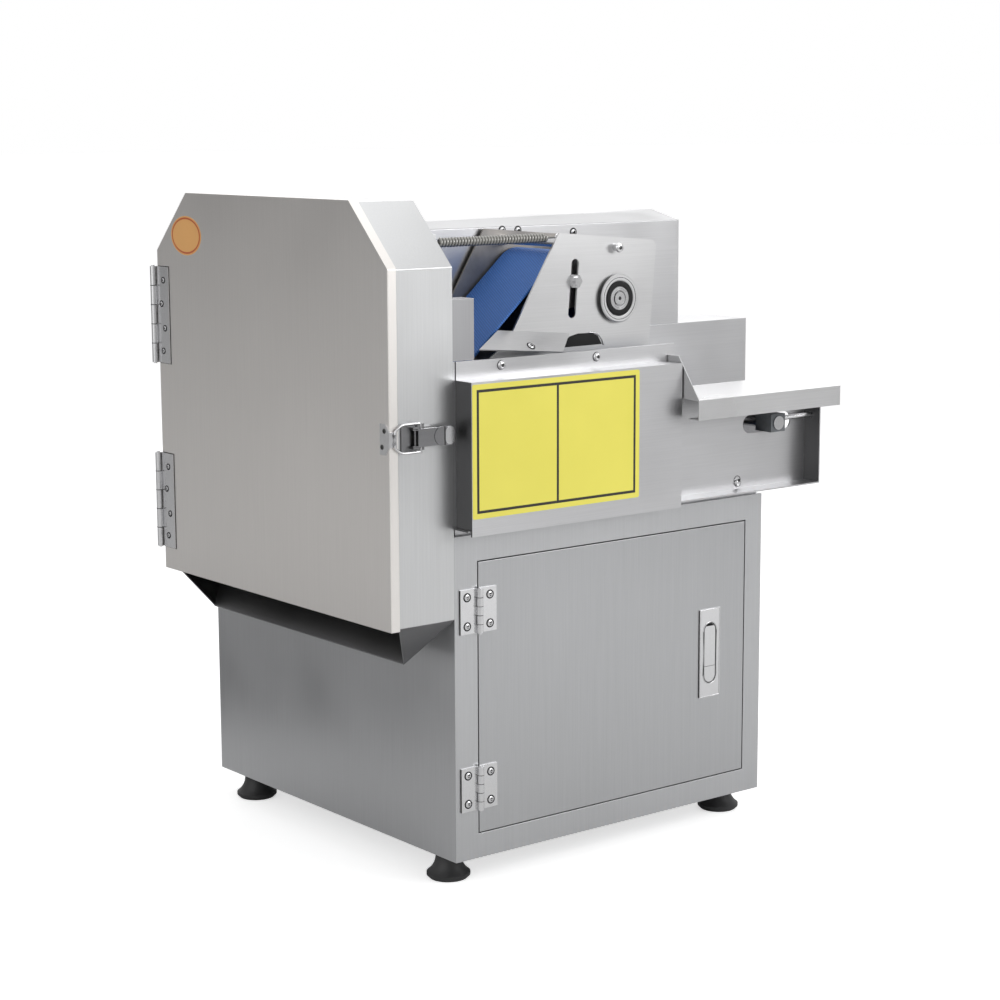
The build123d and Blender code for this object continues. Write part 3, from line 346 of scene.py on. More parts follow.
# %% A function for metals
GRAIN = {"upright": (700, 700, 9), "lengthwise": (9, 700, 700), "turned": (60, 900, 60),
         "fine": (260, 260, 260)}


def add_group(tree, group):
    node = tree.nodes.new("ShaderNodeGroup")
    node.node_tree = group
    return node


def two_tone(tree, mask, first, second):
    """A colour between two, by a mask."""
    mix = tree.nodes.new("ShaderNodeMix")
    mix.data_type = "RGBA"
    mix.inputs["A"].default_value = (*first, 1)
    mix.inputs["B"].default_value = (*second, 1)
    link(tree, mask, mix.inputs["Factor"])
    return mix.outputs["Result"]


def metal(name, tone, grain, rough, metallic=1.0, spread=0.07, bump=0.05, cloud=5.0, end=1.0):
    """A worked metal: tone is its mid colour, rough its lowest and highest roughness, and end how
    much of the tone its left-facing ends keep, as painted shade."""
    material = bpy.data.materials.new(name)
    material.use_nodes = True
    tree = material.node_tree
    shader = tree.nodes["Principled BSDF"]
    shader.inputs["Metallic"].default_value = metallic
    surface = add_group(tree, sheet_grain)
    surface.inputs["Along"].default_value = GRAIN[grain]
    surface.inputs["Cloud Scale"].default_value = cloud
    dark = [c * (1 - spread) for c in tone]
    light = [min(1.0, c * (1 + spread)) for c in tone]
    colour = two_tone(tree, surface.outputs["Streak"], dark, light)
    if end < 1.0:
        shade = tree.nodes.new("ShaderNodeMix")
        shade.data_type = "RGBA"
        link(tree, add_group(tree, left_faces).outputs["Mask"], shade.inputs["Factor"])
        link(tree, colour, shade.inputs["A"])
        shade.inputs["B"].default_value = (*[c * end for c in tone], 1)
        colour = shade.outputs["Result"]
    link(tree, colour, shader.inputs["Base Color"])
    link(tree, ranged(tree, surface.outputs["Cloud"], 0.3, 0.7, *rough), shader.inputs["Roughness"])
    relief = tree.nodes.new("ShaderNodeBump")
    relief.inputs["Strength"].default_value = bump
    relief.inputs["Distance"].default_value = 0.0002
    link(tree, surface.outputs["Streak"], relief.inputs["Height"])
    link(tree, relief.outputs["Normal"], shader.inputs["Normal"])
    return material


print("grain directions", list(GRAIN))

# %% [markdown]
# ## The metals of this machine
# The doors, the head and the cabinet are the same steel, but each faces the room at its own angle,
# so each has its own tone here: painted light and shade on one steel, as are the tones of the
# covers, the feeder, the tray and the press plate. The chute is darker, a painted shade where it
# faces down, the block and the lever are darker too, and the motor is painted.

# %% The metals
# The tones of the cabinet, head, doors, covers, feeder, tray and press plate are painted light and
# shade on one steel.
cabinet_steel = metal("cabinet_steel", (0.50, 0.505, 0.515), "upright", (0.30, 0.42))
head_steel = metal("head_housing_steel", (0.58, 0.585, 0.59), "upright", (0.28, 0.38))
door_steel = metal("door_steel", (0.46, 0.465, 0.475), "upright", (0.27, 0.38), cloud=3.0)
head_door_steel = metal("head_door_steel", (0.78, 0.755, 0.73), "upright", (0.30, 0.40),
                        spread=0.04, cloud=2.5)
cover_steel = metal("cover_steel", (0.57, 0.57, 0.58), "lengthwise", (0.28, 0.40))
# The feeder's and the guard's left-facing ends keep 28% of their tone: painted shade.
feeder_steel = metal("feeder_steel", (0.56, 0.56, 0.57), "lengthwise", (0.28, 0.40), end=0.28)
tray_steel = metal("tray_steel", (0.70, 0.70, 0.705), "lengthwise", (0.24, 0.34))
block_steel = metal("mouth_block_steel", (0.36, 0.36, 0.37), "upright", (0.3, 0.4))
lever_steel = metal("lever_steel", (0.30, 0.30, 0.31), "lengthwise", (0.16, 0.26))
plate_steel = metal("press_plate_steel", (0.60, 0.60, 0.605), "lengthwise", (0.28, 0.38), bump=0.02)
# The press frame's rear plate is darker, rougher and patchier than the other steel.
dark_rough_steel = metal("dark_rough_steel", (0.30, 0.285, 0.27), "turned", (0.40, 0.58), spread=0.22, cloud=24.0)
# The chute's dark tone is painted shade: it faces down under the head.
chute_steel = metal("chute_steel", (0.21, 0.21, 0.215), "lengthwise", (0.30, 0.42))
bright_steel = metal("bright_steel", (0.66, 0.66, 0.67), "fine", (0.16, 0.26), spread=0.04)
turned_steel = metal("turned_steel", (0.60, 0.60, 0.61), "turned", (0.18, 0.30))
blade_steel = metal("blade_steel", (0.68, 0.69, 0.70), "upright", (0.10, 0.20), spread=0.04)
spring_steel = metal("spring_steel", (0.33, 0.325, 0.31), "fine", (0.36, 0.48), spread=0.12)
dark_steel = metal("dark_steel", (0.20, 0.20, 0.205), "fine", (0.30, 0.45))
cast_grey = metal("cast_grey", (0.15, 0.16, 0.17), "fine", (0.5, 0.7), metallic=0.3, spread=0.2,
                  bump=0.3)
motor_paint = metal("motor_paint", (0.10, 0.15, 0.22), "fine", (0.35, 0.5), metallic=0.0,
                    spread=0.08, bump=0.12)
print("metals", len(bpy.data.materials))

# %% [markdown]
# ## Rubber and plastic
# The feet and the drive belt are black rubber with a dull, finely pitted skin. The conveyor belts
# are blue food-grade belting. The switch box is moulded plastic.

# %% A function for moulded skins
def moulded(name, tone, rough, pit_scale=900.0, pit=0.15, coat=0.0, spread=0.12):
    """A moulded surface with a pitted skin."""
    material = bpy.data.materials.new(name)
    material.use_nodes = True
    tree = material.node_tree
    shader = tree.nodes["Principled BSDF"]
    shader.inputs["Coat Weight"].default_value = coat
    where = tree.nodes.new("ShaderNodeTexCoord")
    pits = tree.nodes.new("ShaderNodeTexNoise")
    pits.inputs["Scale"].default_value = pit_scale
    pits.inputs["Detail"].default_value = 2.0
    link(tree, where.outputs["Object"], pits.inputs["Vector"])
    broad = tree.nodes.new("ShaderNodeTexNoise")
    broad.inputs["Scale"].default_value = 18.0
    link(tree, where.outputs["Object"], broad.inputs["Vector"])
    dark = [c * (1 - spread) for c in tone]
    light = [c * (1 + spread) for c in tone]
    link(tree, two_tone(tree, broad.outputs["Fac"], dark, light), shader.inputs["Base Color"])
    link(tree, ranged(tree, broad.outputs["Fac"], 0.3, 0.7, *rough), shader.inputs["Roughness"])
    relief = tree.nodes.new("ShaderNodeBump")
    relief.inputs["Strength"].default_value = pit
    relief.inputs["Distance"].default_value = 0.0003
    link(tree, pits.outputs["Fac"], relief.inputs["Height"])
    link(tree, relief.outputs["Normal"], shader.inputs["Normal"])
    return material


# %% [markdown]
# ## The rubbers and plastics of this machine
# Feet, drive belt, switch box and its two buttons use the function with their own colours. The
# black of the seals and of the painted shade in gaps is the darkest and has the least shine, so it
# stays black in the lamps. The black rubber and the black plastic also paint shade, in screw
# sockets, beside edges and in a crease.

# %% The rubbers and plastics
black_rubber_and_shade = moulded("black_rubber_and_shade", (0.022, 0.022, 0.023), (0.45, 0.62))
belt_rubber = moulded("drive_belt_rubber", (0.03, 0.03, 0.03), (0.5, 0.7))
switch_plastic = moulded("switch_plastic", (0.30, 0.31, 0.32), (0.32, 0.42), coat=0.1)
green_plastic = moulded("green_plastic", (0.03, 0.36, 0.12), (0.22, 0.3), coat=0.4, spread=0.05)
red_plastic = moulded("red_plastic", (0.55, 0.03, 0.025), (0.22, 0.3), coat=0.4, spread=0.05)
black_plastic_and_shade = moulded("black_plastic_and_shade", (0.03, 0.03, 0.03), (0.4, 0.5))
black_seal_and_shade = moulded("black_seal_and_shade", (0.012, 0.012, 0.013), (0.6, 0.75), pit=0.05)
black_seal_and_shade.node_tree.nodes["Principled BSDF"].inputs["Specular IOR Level"].default_value = 0.25
print("materials", len(bpy.data.materials))

# %% [markdown]
# ## Blue belting
# The belt's face is woven polyester coated blue, with a small checkered relief that grips leaves.
# Two crossed waves make the checks. They read the belt's own UV map, so that the pattern follows
# the belt round its rollers.

# %% Belt finish
def belting(name, tone, pitch_u, pitch_v):
    """Blue coated belting; pitch counts checks along and across per unit of the UV map."""
    material = bpy.data.materials.new(name)
    material.use_nodes = True
    tree = material.node_tree
    shader = tree.nodes["Principled BSDF"]
    uv = tree.nodes.new("ShaderNodeUVMap")
    uv.uv_map = "belt"
    split = tree.nodes.new("ShaderNodeSeparateXYZ")
    link(tree, uv.outputs["UV"], split.inputs[0])
    waves = []
    for key, pitch in (("X", pitch_u), ("Y", pitch_v)):
        scaled = tree.nodes.new("ShaderNodeMath")
        scaled.operation = "MULTIPLY"
        scaled.inputs[1].default_value = pitch * 2 * pi
        link(tree, split.outputs[key], scaled.inputs[0])
        wave = tree.nodes.new("ShaderNodeMath")
        wave.operation = "SINE"
        link(tree, scaled.outputs[0], wave.inputs[0])
        waves.append(wave.outputs[0])
    cross = tree.nodes.new("ShaderNodeMath")
    cross.operation = "MULTIPLY"
    link(tree, waves[0], cross.inputs[0])
    link(tree, waves[1], cross.inputs[1])
    check = ranged(tree, cross.outputs[0], -0.6, 0.6, 0.0, 1.0)
    dark = [c * 0.72 for c in tone]
    light = [c * 1.25 for c in tone]
    link(tree, two_tone(tree, check, dark, light), shader.inputs["Base Color"])
    shader.inputs["Roughness"].default_value = 0.55
    relief = tree.nodes.new("ShaderNodeBump")
    relief.inputs["Strength"].default_value = 0.6
    relief.inputs["Distance"].default_value = 0.0006
    link(tree, check, relief.inputs["Height"])
    link(tree, relief.outputs["Normal"], shader.inputs["Normal"])
    return material


blue_belting = belting("blue_belting", (0.05, 0.175, 0.54), 300.0, 150.0)
print("belting", blue_belting.name)

# %% [markdown]
# ## Finish on every frame node
# A node takes the finish of its material slot. Doors, covers and the press plates have their own
# grain direction, so they are named one by one.

# %% Dress the frame's nodes
SLOT_FINISH = {
    "stainless": cabinet_steel, "bright_steel": bright_steel, "bearing_seal": dark_steel,
    "foot_rubber": black_rubber_and_shade, "belt_blue": blue_belting, "drive_rubber": belt_rubber,
    "cast_housing": cast_grey, "motor_paint": motor_paint, "blade_steel": blade_steel,
    "switch_grey": switch_plastic, "button_green": green_plastic, "button_red": red_plastic,
    "gland_black": black_plastic_and_shade,
}
FINISH_NODES = (
    (cover_steel, ("feeder_rear_plate", "lower_drive_cover", "upper_drive_cover", "belt_bed",
                   "bed_plate")),
    (feeder_steel, ("feeder_front_plate", "guard_cover")),
    (turned_steel, ("press_drive_roller", "press_top_roller", "press_nip_roller",
                    "feed_drive_roller", "feed_tail_roller")),
    (head_door_steel, ("head_door",)), (door_steel, ("cabinet_door",)),
    (plate_steel, ("press_front_plate",)), (dark_rough_steel, ("press_rear_plate",)),
    (tray_steel, ("feed_tray",)), (head_steel, ("head_housing",)),
    (chute_steel, ("discharge_chute",)), (block_steel, ("mouth_block",)),
    (lever_steel, ("latch_lever",)), (dark_steel, ("latch_base",)),
)
NODE_FINISH = {node: finish for finish, nodes in FINISH_NODES for node in nodes}
for part in frame["record"]["subparts"]:
    name = part["node"]
    finish = NODE_FINISH.get(name, SLOT_FINISH[part["material_slot"]])
    mesh = frame["nodes"][name].data
    mesh.materials.clear()
    mesh.materials.append(finish)

# %% [markdown]
# ## Folded edges
# A folded sheet has a small radius at each fold, and it catches a thin line of light. The frame's
# sheets are sharp, so each gets a bevel under a millimetre wide. Their meshes are loose triangles,
# so a weld comes first. Modifiers leave the frame's own mesh as it is.

# %% Bevel the sheets
def soften(node, width):
    obj = frame["nodes"][node]
    weld = obj.modifiers.new("weld", "WELD")
    weld.merge_threshold = 0.00001
    bevel = obj.modifiers.new("fold", "BEVEL")
    bevel.width = width * MM
    bevel.segments = 2
    bevel.limit_method = "ANGLE"
    bevel.angle_limit = radians(35)
    bevel.use_clamp_overlap = True
    bevel.harden_normals = True


SHEETS = {"head_door": 0.9, "cabinet_body": 0.5, "cabinet_door": 0.7, "head_housing": 0.6,
          "feed_tray": 0.4, "lower_drive_cover": 0.5, "upper_drive_cover": 0.9,
          "mouth_block": 0.4, "discharge_chute": 0.4}
for node, width in SHEETS.items():
    soften(node, width)
print("softened", len(SHEETS), "sheets")

# %% [markdown]
# ## Helpers for Geometry Nodes
# What repeats on the machine comes from Geometry Nodes trees: screws, rings and the spring's coil.
# These helpers make an empty tree, do the sums inside it and end it in real, painted geometry.

# %% Helpers for Geometry Nodes trees
def new_geometry_tree(name, inputs):
    tree = bpy.data.node_groups.new(name, "GeometryNodeTree")
    tree.interface.new_socket("Geometry", in_out="INPUT", socket_type="NodeSocketGeometry")
    for label, kind, value in inputs:
        socket = tree.interface.new_socket(label, in_out="INPUT", socket_type=kind)
        if value is not None:
            socket.default_value = value
    tree.interface.new_socket("Geometry", in_out="OUTPUT", socket_type="NodeSocketGeometry")
    return tree, tree.nodes.new("NodeGroupInput"), tree.nodes.new("NodeGroupOutput")


def finish_tree(tree, source, given, result):
    """Realise the instances and give them the tree's material."""
    real = tree.nodes.new("GeometryNodeRealizeInstances")
    paint = tree.nodes.new("GeometryNodeSetMaterial")
    link(tree, source, real.inputs[0])
    link(tree, real.outputs[0], paint.inputs["Geometry"])
    link(tree, given.outputs["Material"], paint.inputs["Material"])
    link(tree, paint.outputs["Geometry"], result.inputs["Geometry"])


def vector_of(tree, x, y, z):
    """A vector from three numbers or sockets."""
    node = tree.nodes.new("ShaderNodeCombineXYZ")
    for key, value in zip("XYZ", (x, y, z)):
        if hasattr(value, "is_linked"):
            link(tree, value, node.inputs[key])
        else:
            node.inputs[key].default_value = value
    return node.outputs[0]


def scaled(tree, value, factor):
    node = tree.nodes.new("ShaderNodeMath")
    node.operation = "MULTIPLY"
    link(tree, value, node.inputs[0])
    node.inputs[1].default_value = factor
    return node.outputs[0]


def run_tree(name, tree, mesh, values):
    """Put a tree on a mesh, set its inputs by identifier, and keep the result as a plain mesh."""
    carrier = bpy.data.objects.new(name + "_points", mesh)
    bpy.context.scene.collection.objects.link(carrier)
    modifier = carrier.modifiers.new("tree", "NODES")
    modifier.node_group = tree
    for item in tree.interface.items_tree:
        if item.item_type == "SOCKET" and item.in_out == "INPUT" and item.name in values:
            modifier[item.identifier] = values[item.name]
    bpy.context.view_layer.update()
    graph = bpy.context.evaluated_depsgraph_get()
    made = bpy.data.meshes.new_from_object(carrier.evaluated_get(graph))
    bpy.data.objects.remove(carrier)
    piece = bpy.data.objects.new(name, made)
    bpy.context.scene.collection.objects.link(piece)
    return piece


def points_mesh(name, points):
    mesh = bpy.data.meshes.new(name)
    mesh.from_pydata([tuple(p) for p in points], [], [])
    return mesh


def smooth(piece, angle=40):
    """Smooth shading, with sharp edges past an angle."""
    for face in piece.data.polygons:
        face.use_smooth = True
    piece.data.set_sharp_from_angle(angle=radians(angle))


# %% [markdown]
# ## Screws
# A screw is a squashed ball with a cross cut into it. The tree takes loose points and puts one on
# each. Inputs set its radius and height, and the direction that the head faces, so one tree serves
# the doors, the hinges, the covers and the back.

# %% A tree for cross-head screws
def screw_tree():
    tree, given, result = new_geometry_tree(
        "cross_head_screws",
        [("Radius", "NodeSocketFloat", 0.004), ("Height", "NodeSocketFloat", 0.0016),
         ("Facing", "NodeSocketVector", (0, -1, 0)), ("Material", "NodeSocketMaterial", None)])
    ball = tree.nodes.new("GeometryNodeMeshUVSphere")
    ball.inputs["Segments"].default_value = 24
    ball.inputs["Rings"].default_value = 12
    link(tree, given.outputs["Radius"], ball.inputs["Radius"])
    squash = tree.nodes.new("GeometryNodeTransform")
    ratio = tree.nodes.new("ShaderNodeMath")
    ratio.operation = "DIVIDE"
    link(tree, given.outputs["Height"], ratio.inputs[0])
    link(tree, given.outputs["Radius"], ratio.inputs[1])
    link(tree, ball.outputs["Mesh"], squash.inputs["Geometry"])
    link(tree, vector_of(tree, 1.0, 1.0, ratio.outputs[0]), squash.inputs["Scale"])
    cut = tree.nodes.new("GeometryNodeMeshBoolean")
    cut.operation = "DIFFERENCE"
    link(tree, squash.outputs["Geometry"], cut.inputs["Mesh 1"])
    for x_share, y_share in ((1.1, 0.2), (0.2, 1.1)):
        bar = tree.nodes.new("GeometryNodeMeshCube")
        size = vector_of(tree, scaled(tree, given.outputs["Radius"], x_share),
                         scaled(tree, given.outputs["Radius"], y_share), given.outputs["Height"])
        link(tree, size, bar.inputs["Size"])
        lift = tree.nodes.new("GeometryNodeTransform")
        link(tree, bar.outputs["Mesh"], lift.inputs["Geometry"])
        link(tree, vector_of(tree, 0.0, 0.0, scaled(tree, given.outputs["Height"], 0.9)),
             lift.inputs["Translation"])
        link(tree, lift.outputs["Geometry"], cut.inputs["Mesh 2"])
    turn = tree.nodes.new("FunctionNodeAlignRotationToVector")
    turn.axis = "Z"
    link(tree, given.outputs["Facing"], turn.inputs["Vector"])
    place = tree.nodes.new("GeometryNodeInstanceOnPoints")
    link(tree, given.outputs["Geometry"], place.inputs["Points"])
    link(tree, cut.outputs["Mesh"], place.inputs["Instance"])
    link(tree, turn.outputs["Rotation"], place.inputs["Rotation"])
    finish_tree(tree, place.outputs["Instances"], given, result)
    return tree


cross_screws = screw_tree()
print("tree", cross_screws.name)

# %% [markdown]
# ## Dark edges
# The photograph shows a hard dark line round each screw and at each hinge joint. A real line of
# that kind is the shadow in a narrow gap, too fine to cut into every sheet, so a thin dark wire is
# laid on the surface. The same tree makes the rings of the bearing and the eye of the spring.

# %% A tree for round wires
def ring_tree():
    """Round wires about loose points, turned to face one way."""
    tree, given, result = new_geometry_tree(
        "countersink_rings",
        [("Radius", "NodeSocketFloat", 0.006), ("Wire", "NodeSocketFloat", 0.0006),
         ("Facing", "NodeSocketVector", (0, -1, 0)), ("Material", "NodeSocketMaterial", None)])
    loop = tree.nodes.new("GeometryNodeCurvePrimitiveCircle")
    loop.inputs["Resolution"].default_value = 40
    link(tree, given.outputs["Radius"], loop.inputs["Radius"])
    wire = tree.nodes.new("GeometryNodeCurvePrimitiveCircle")
    wire.inputs["Resolution"].default_value = 8
    link(tree, given.outputs["Wire"], wire.inputs["Radius"])
    sweep = tree.nodes.new("GeometryNodeCurveToMesh")
    link(tree, loop.outputs["Curve"], sweep.inputs["Curve"])
    link(tree, wire.outputs["Curve"], sweep.inputs["Profile Curve"])
    turn = tree.nodes.new("FunctionNodeAlignRotationToVector")
    turn.axis = "Z"
    link(tree, given.outputs["Facing"], turn.inputs["Vector"])
    place = tree.nodes.new("GeometryNodeInstanceOnPoints")
    link(tree, given.outputs["Geometry"], place.inputs["Points"])
    link(tree, sweep.outputs["Mesh"], place.inputs["Instance"])
    link(tree, turn.outputs["Rotation"], place.inputs["Rotation"])
    finish_tree(tree, place.outputs["Instances"], given, result)
    return tree


screw_rings = ring_tree()
print("tree", screw_rings.name)


def rings(name, body, points, facing, radius, wire, material=None):
    """A round wire about each point, black where no material is given."""
    piece = run_tree(name, screw_rings, points_mesh(name, points),
                     {"Radius": radius * MM, "Wire": wire * MM, "Facing": facing,
                      "Material": material or black_seal_and_shade})
    smooth(piece)
    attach(piece, body)


# %% [markdown]
# ## Screw heads with marks
# A bright head alone would vanish on bright steel. The visible ones get a dark ring at the rim and
# a dark mark where the driver goes in, both painted shade, and all three follow the body that
# carries the screw.

# %% Functions that place screws
MARK_SHARE = 0.42


def screws(name, body, points, facing, radius, height, material):
    piece = run_tree(name, cross_screws, points_mesh(name, points),
                     {"Radius": radius * MM, "Height": height * MM, "Facing": facing,
                      "Material": material})
    smooth(piece)
    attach(piece, body)
    print(name, len(points), "screws,", len(piece.data.polygons), "faces")


def marked_screws(name, body, points, facing, radius, height):
    """Bright screws with painted shade: a dark ring at the rim and a dark mark where the driver goes
    in.
    """
    screws(name, body, points, facing, radius, height, bright_steel)
    rings(name + "_rings", body, points, facing, radius + 0.4, 0.9)
    tops = [p + Vector(facing) * (height - 0.15) * MM for p in points]
    screws(name + "_marks", body, tops, facing, radius * MARK_SHARE, 0.35, black_seal_and_shade)


# %% [markdown]
# ## Screws of the cabinet door's hinges
# Each leaf of a butt hinge has two screws. Those of the fixed leaf ride on the cabinet, and those of
# the moving leaf ride on the door and swing with it.

# %% Screws of the cabinet door's hinges
DOOR_HINGE_X = 38.4
DOOR_HINGE_HEIGHTS = (136.0, 378.0)
HOLE_ACROSS, HOLE_UP = 19.0, 19.5
LEAF_FACE = -2.0


def door_hinge_points(side):
    x = DOOR_HINGE_X + side * HOLE_ACROSS
    return [at(x, LEAF_FACE, z + up * HOLE_UP) for z in DOOR_HINGE_HEIGHTS for up in (-1, 1)]


for side, body in ((-1, "machine_frame"), (1, "cabinet_door")):
    name = "fixed" if side < 0 else "moving"
    marked_screws(name + "_leaf_screws", body, door_hinge_points(side), (0, -1, 0), 4.9, 1.8)

# %% [markdown]
# ## Screws of the head door's hinges
# The long hinges have four screws in each leaf, set a little to and fro. The moving leaf lies on the
# door's face, and the fixed leaf is on the back of the head, out of the photograph's view.

# %% Screws of the head door's hinges
HEAD_LEAF_X = -105.5
HEAD_LEAF_HEIGHTS = (790, 756, 721, 688, 519, 486, 450, 417)
HEAD_LEAF_ACROSS = (549, 555, 547, 553)
head_leaf_points = [at(HEAD_LEAF_X, HEAD_LEAF_ACROSS[i % 4], z)
                    for i, z in enumerate(HEAD_LEAF_HEIGHTS)]
marked_screws("head_hinge_screws", "head_door", head_leaf_points, (-1, 0, 0), 3.6, 1.2)
head_fixed_points = [at(-69, 570.3, z) for z in HEAD_LEAF_HEIGHTS]
screws("head_fixed_hinge_screws", "machine_frame", head_fixed_points, (0, 1, 0), 3.6, 1.3,
       bright_steel)

# %% [markdown]
# ## Screws of the strike plate, the upper cover and the back
# Two dark screws hold the strike plate that the latch hooks on. Three bright ones stand in the front
# face of the upper cover. The four on the back panel are guessed, as the photograph doesn't show it.

# %% Screws of the strike plate, the upper cover and the back
strike_points = [at(-105, 6, 628), at(-105, 11, 607)]
screws("strike_screws", "head_door", strike_points, (-1, 0, 0), 3.4, 1.2, black_plastic_and_shade)
cover_points = [at(x, 170, z) for x, z in ((216, 864.5), (244, 863.5), (345, 857.5))]
marked_screws("cover_front_screws", "machine_frame", cover_points, (0, -1, 0), 5.0, 2.4)
back_points = [at(x, 595, z) for x in (60, 500) for z in (70, 450)]
screws("back_panel_screws", "machine_frame", back_points, (0, 1, 0), 3.6, 1.4, bright_steel)

# %% [markdown]
# ## Spring
# An extension spring pulls the press belt down on the vegetables. Its shape follows a rule, so a
# tree makes it: a straight spiral with a round wire swept along it. It replaces the plain rod of
# the frame.

# %% A tree for the coil, and a wire through points
spring_low, spring_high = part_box("press_spring")
SPRING_RADIUS = 6.5 * MM
SPRING_WIRE = 4.2 * MM
SPRING_PITCH = 4.9 * MM
HOOK_WIRE = 2.4 * MM
SPRING_START, SPRING_END = at(14, 47, 0).x, at(192, 47, 0).x


def coil_tree():
    tree, given, result = new_geometry_tree(
        "extension_spring",
        [("Turns", "NodeSocketFloat", 60.0), ("Radius", "NodeSocketFloat", 0.005),
         ("Length", "NodeSocketFloat", 0.18), ("Wire", "NodeSocketFloat", 0.0012),
         ("Material", "NodeSocketMaterial", None)])
    spiral = tree.nodes.new("GeometryNodeCurveSpiral")
    spiral.inputs["Resolution"].default_value = 14
    link(tree, given.outputs["Turns"], spiral.inputs["Rotations"])
    link(tree, given.outputs["Radius"], spiral.inputs["Start Radius"])
    link(tree, given.outputs["Radius"], spiral.inputs["End Radius"])
    link(tree, given.outputs["Length"], spiral.inputs["Height"])
    ring = tree.nodes.new("GeometryNodeCurvePrimitiveCircle")
    ring.inputs["Resolution"].default_value = 8
    link(tree, given.outputs["Wire"], ring.inputs["Radius"])
    sweep = tree.nodes.new("GeometryNodeCurveToMesh")
    sweep.inputs["Fill Caps"].default_value = True
    link(tree, spiral.outputs["Curve"], sweep.inputs["Curve"])
    link(tree, ring.outputs["Curve"], sweep.inputs["Profile Curve"])
    finish_tree(tree, sweep.outputs["Mesh"], given, result)
    return tree


def tube_along(bm, points, radius, sides=10):
    """A round wire through points, added to a bmesh, with closed ends."""
    hoops = []
    for i, point in enumerate(points):
        ahead = points[min(i + 1, len(points) - 1)] - points[max(i - 1, 0)]
        turn = ahead.to_track_quat("Z", "Y").to_matrix()
        ring = [bm.verts.new(point + turn @ Vector((cos(a) * radius, sin(a) * radius, 0)))
                for a in (2 * pi * k / sides for k in range(sides))]
        hoops.append(ring)
    for low, high in zip(hoops, hoops[1:]):
        for k in range(sides):
            bm.faces.new((low[k], low[(k + 1) % sides], high[(k + 1) % sides], high[k]))
    bm.faces.new(list(reversed(hoops[0])))
    bm.faces.new(hoops[-1])


print("coil", round((SPRING_END - SPRING_START) / MM), "mm long")

# %% [markdown]
# ## Spring with its hooks
# The coil is laid along its axis and gets a straight tail and a bent hook of thinner wire. A ring
# on the press frame's bar is the eye that the hook holds.

# %% The spring with its hooks
def spring():
    length = SPRING_END - SPRING_START
    turns = length / SPRING_PITCH
    coil = run_tree("press_spring_coil", coil_tree(), points_mesh("coil_seed", [(0, 0, 0)]),
                    {"Turns": turns, "Radius": SPRING_RADIUS - SPRING_WIRE / 2, "Length": length,
                     "Wire": SPRING_WIRE / 2, "Material": spring_steel})
    axis_y = (spring_low.y + spring_high.y) / 2
    axis_z = spring_high.z - SPRING_RADIUS
    axis = Vector((SPRING_START, axis_y, axis_z))
    coil.data.transform(Matrix.Translation(axis) @ Matrix.Rotation(pi / 2, 4, "Y"))
    bm = bmesh.new()
    bm.from_mesh(coil.data)
    wire = HOOK_WIRE / 2
    tail = [Vector((spring_low.x, axis_y, axis_z)), axis + Vector((0.002, 0, 0)),
            axis + Vector((0.004, 0, SPRING_RADIUS - wire))]
    tube_along(bm, tail, wire)
    end = Vector((SPRING_END, axis_y, axis_z))
    tip_x = spring_high.x - wire
    hook = [end + Vector((-0.003, 0, SPRING_RADIUS - wire)), end,
            Vector((tip_x - 0.003, axis_y, axis_z)), Vector((tip_x, axis_y, axis_z - 0.003)),
            Vector((tip_x, axis_y, axis_z - 0.008))]
    tube_along(bm, hook, wire)
    bmesh.ops.recalc_face_normals(bm, faces=bm.faces)
    bm.to_mesh(coil.data)
    bm.free()
    smooth(coil, 60)
    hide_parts("press_spring")
    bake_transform(coil)
    print("spring", round(turns), "turns,", len(coil.data.polygons), "faces")
    eye = Vector((tip_x - 0.010, axis_y - 0.0012, axis_z))
    rings("spring_eye", "press_frame", [eye], (0, -1, 0), 4.6, 1.1, bright_steel)


spring()

# %% [markdown]
# ## Latch bail
# The toggle latch pulls the door shut with a bail of round wire that hooks over the strike plate.
# The wire is swept along its bent outline, with the corners rounded.

# %% Latch bail of round wire
BAIL_WIRE = 3.2
BAIL_Y = -6.1
BAIL_CORNERS = [(-57, 18.4), (-86, 18.4), (-96.8, 11.2), (-96.8, -11.2), (-86, -18.4),
                (-57, -18.4)]
LATCH_Z = 617.0


def mesh_piece(name, bm, material):
    """A linked object from a bmesh, with its faces outward."""
    bmesh.ops.recalc_face_normals(bm, faces=bm.faces)
    mesh = bpy.data.meshes.new(name)
    bm.to_mesh(mesh)
    bm.free()
    mesh.materials.append(material)
    piece = bpy.data.objects.new(name, mesh)
    bpy.context.scene.collection.objects.link(piece)
    return piece


def rounded(corners, radius, steps=5):
    """Replace each inner corner of an open path by a short curve."""
    path = [Vector(corners[0])]
    for a, b, c in zip(corners, corners[1:], corners[2:]):
        a, b, c = Vector(a), Vector(b), Vector(c)
        start = b + (a - b).normalized() * radius
        stop = b + (c - b).normalized() * radius
        for k in range(steps + 1):
            t = k / steps
            path.append(start * (1 - t) ** 2 + b * 2 * t * (1 - t) + stop * t ** 2)
    return path + [Vector(corners[-1])]


def latch_bail_wire():
    path = [at(x, BAIL_Y, LATCH_Z + z) for x, z in rounded(BAIL_CORNERS, 4.5)]
    bm = bmesh.new()
    tube_along(bm, path, BAIL_WIRE / 2 * MM, 14)
    pivot = [at(-57, -7.0, LATCH_Z - 19.5), at(-57, -7.0, LATCH_Z + 19.5)]
    tube_along(bm, pivot, 1.5 * MM, 14)
    piece = mesh_piece("latch_bail_wire", bm, bright_steel)
    smooth(piece, 60)
    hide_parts("latch_bail")
    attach(piece, "latch_bail")
    print("bail", len(path), "points")


latch_bail_wire()

# %% [markdown]
# ## Belts
# A belt is a closed band round its rollers. The band is built again from its rollers' circles, with
# a UV map that runs along and across it, so that the checkered face follows the belt. Its edges
# are rounded, and it takes the place of the frame's plain band.

